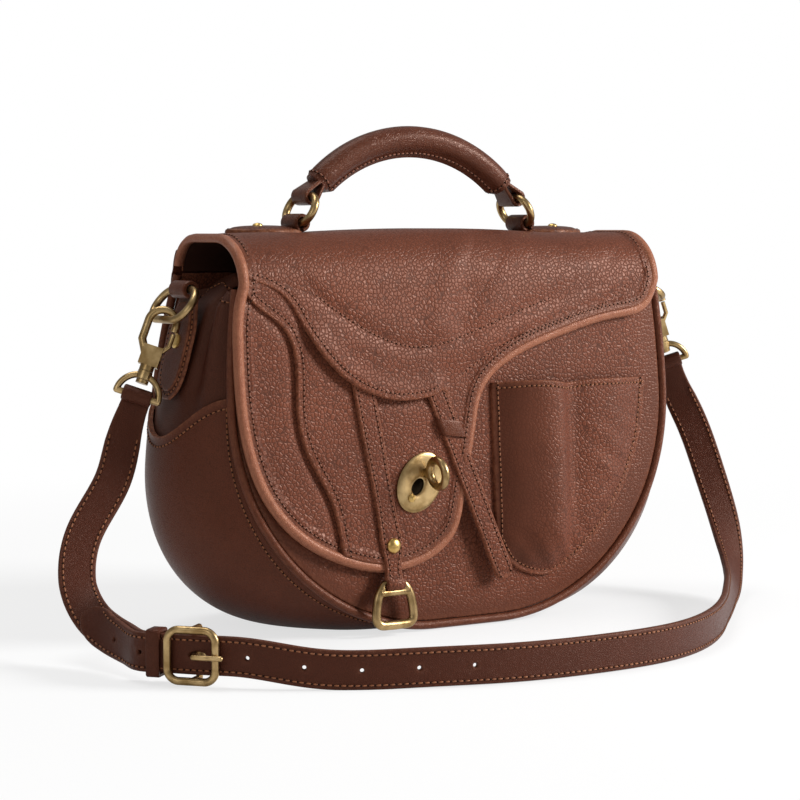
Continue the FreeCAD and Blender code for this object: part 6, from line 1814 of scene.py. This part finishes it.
for side in (-1, 1):
    aside = girth_side * side * (girth_half - strip_row)
    line = even([girth_top + aside, girth_foot - girth_along * girth_row_stop + aside], row_step)
    flap_rows.append(row_on(line, front_point, strip_top, girth_outline))
    line = strip_line(side, strip_row)
    line = line[line[:, 1] > strip_row_foot]
    flap_rows.append(row_on(line, front_point, stirrup_strip_top, strip_outline))
leaf_row = leaf_side - [0, tab_row]
leaf_row = leaf_row[leaf_row[:, 1] > leaf_row_least]
for sign in (-1, 1):
    for flip in (-1, 1):
        height = np.full(len(leaf_row), tab_leather - leaf_row_sink)
        flap_rows.append(leaf_point(sign)(leaf_row[:, 0], leaf_row[:, 1] * flip, height))
flap_rows = [row for row in flap_rows if len(row) >= shortest_row]
sew("stitches_on_flap", flap_rows, "flap", brown_thread)

hem_inset, seam_row_inset, seam_row_step, upper_row_inset, upper_row_ends = 5.5, 6.0, 2.0, 5.0, 4
patch_row_inset, patch_row_start = 2.8, 8.0
bag_rows = []
hem_shares = np.linspace(0.06, 0.94, 60)
hem = hem_shares * base_depth
hem_end, seam_end = gusset_run - hem_inset, gusset_run - seam_row_inset
gusset_lines = [np.stack([np.full(len(hem), along), hem], axis=1) for along in (-hem_end, hem_end)]
gusset_lines += [
    even([(-seam_end, across), (seam_end, across)], seam_row_step)
    for across in (seam_row_inset, base_depth - seam_row_inset)]
for line in gusset_lines:
    bag_rows.append(row_on(line, gusset_point, gusset_face, gusset_outline))
for sign in (-1, 1):
    line = upper_edge[upper_row_ends:-upper_row_ends] - [0.0, upper_row_inset]
    bag_rows.append(row_on(line, upper_gusset_point(sign), folds, upper_outline))
pocket_round_line = even(np.concatenate([pocket_mouth[-1:], pocket_line, pocket_mouth[:-1]]), edge_step)
bag_rows.append(row_on(drawn_in(pocket_round_line, pocket_row), front_point, pocket_face, pocket_outline))
for sign in (-1, 1):
    row = drawn_in(patch_outline, patch_row_inset)
    row = row[np.abs(row[:, 1]) > patch_row_start]
    row = row[np.argsort(np.arctan2(row[:, 0], -(row[:, 1] + patch_row_start)))]
    bag_rows.append(patch_point(sign)(row[:, 0], row[:, 1], np.full(len(row), patch_face_height)))
sew("stitches_on_bag", bag_rows, "bag", tan_thread)

left_row_ends, whole_row_ends, strap_row_sink = (24.0, 14.0), (14.0, 22.0), 0.1
strap_rows = []
row_out = strap_leather / 2 - strap_row_sink + stitch_lift
for place, length, row_ends in (
        (left_place, left_length, left_row_ends), (whole_place, whole_length, whole_row_ends)):
    way = np.arange(row_ends[0], length - row_ends[1], row_step)
    for side in (-1, 1):
        for face in (1, -1):
            aside = np.full(len(way), side * (strap_half - strap_row))
            strap_rows.append(place(way, aside, np.full(len(way), face * row_out)))
sew("stitches_on_strap", strap_rows, "bag", tan_thread, strap_pitch)

keel_row_end, keel_row_rise, keel_row_side = 0.05, 0.6, 2.4
ring_row_end, ring_row_share, ring_row_lift = 0.035, 0.97, 0.1
turns = np.linspace(keel_row_end - handle_half, handle_half - keel_row_end, 90)
keel_away = handle_radius - handle_thickness - keel_row_rise
handle_rows = [handle_point(turns, keel_away, side * keel_row_side) for side in (-1, 1)]
angles = np.linspace(math.radians(-60), math.radians(240), 40)
reach = handle_thickness * ring_row_share + ring_row_lift
for turn in (ring_row_end - handle_half, handle_half - ring_row_end):
    handle_rows.append(handle_point(turn, handle_radius + np.sin(angles) * reach, np.cos(angles) * reach))
sew("stitches_on_handle", handle_rows, "handle", brown_thread)
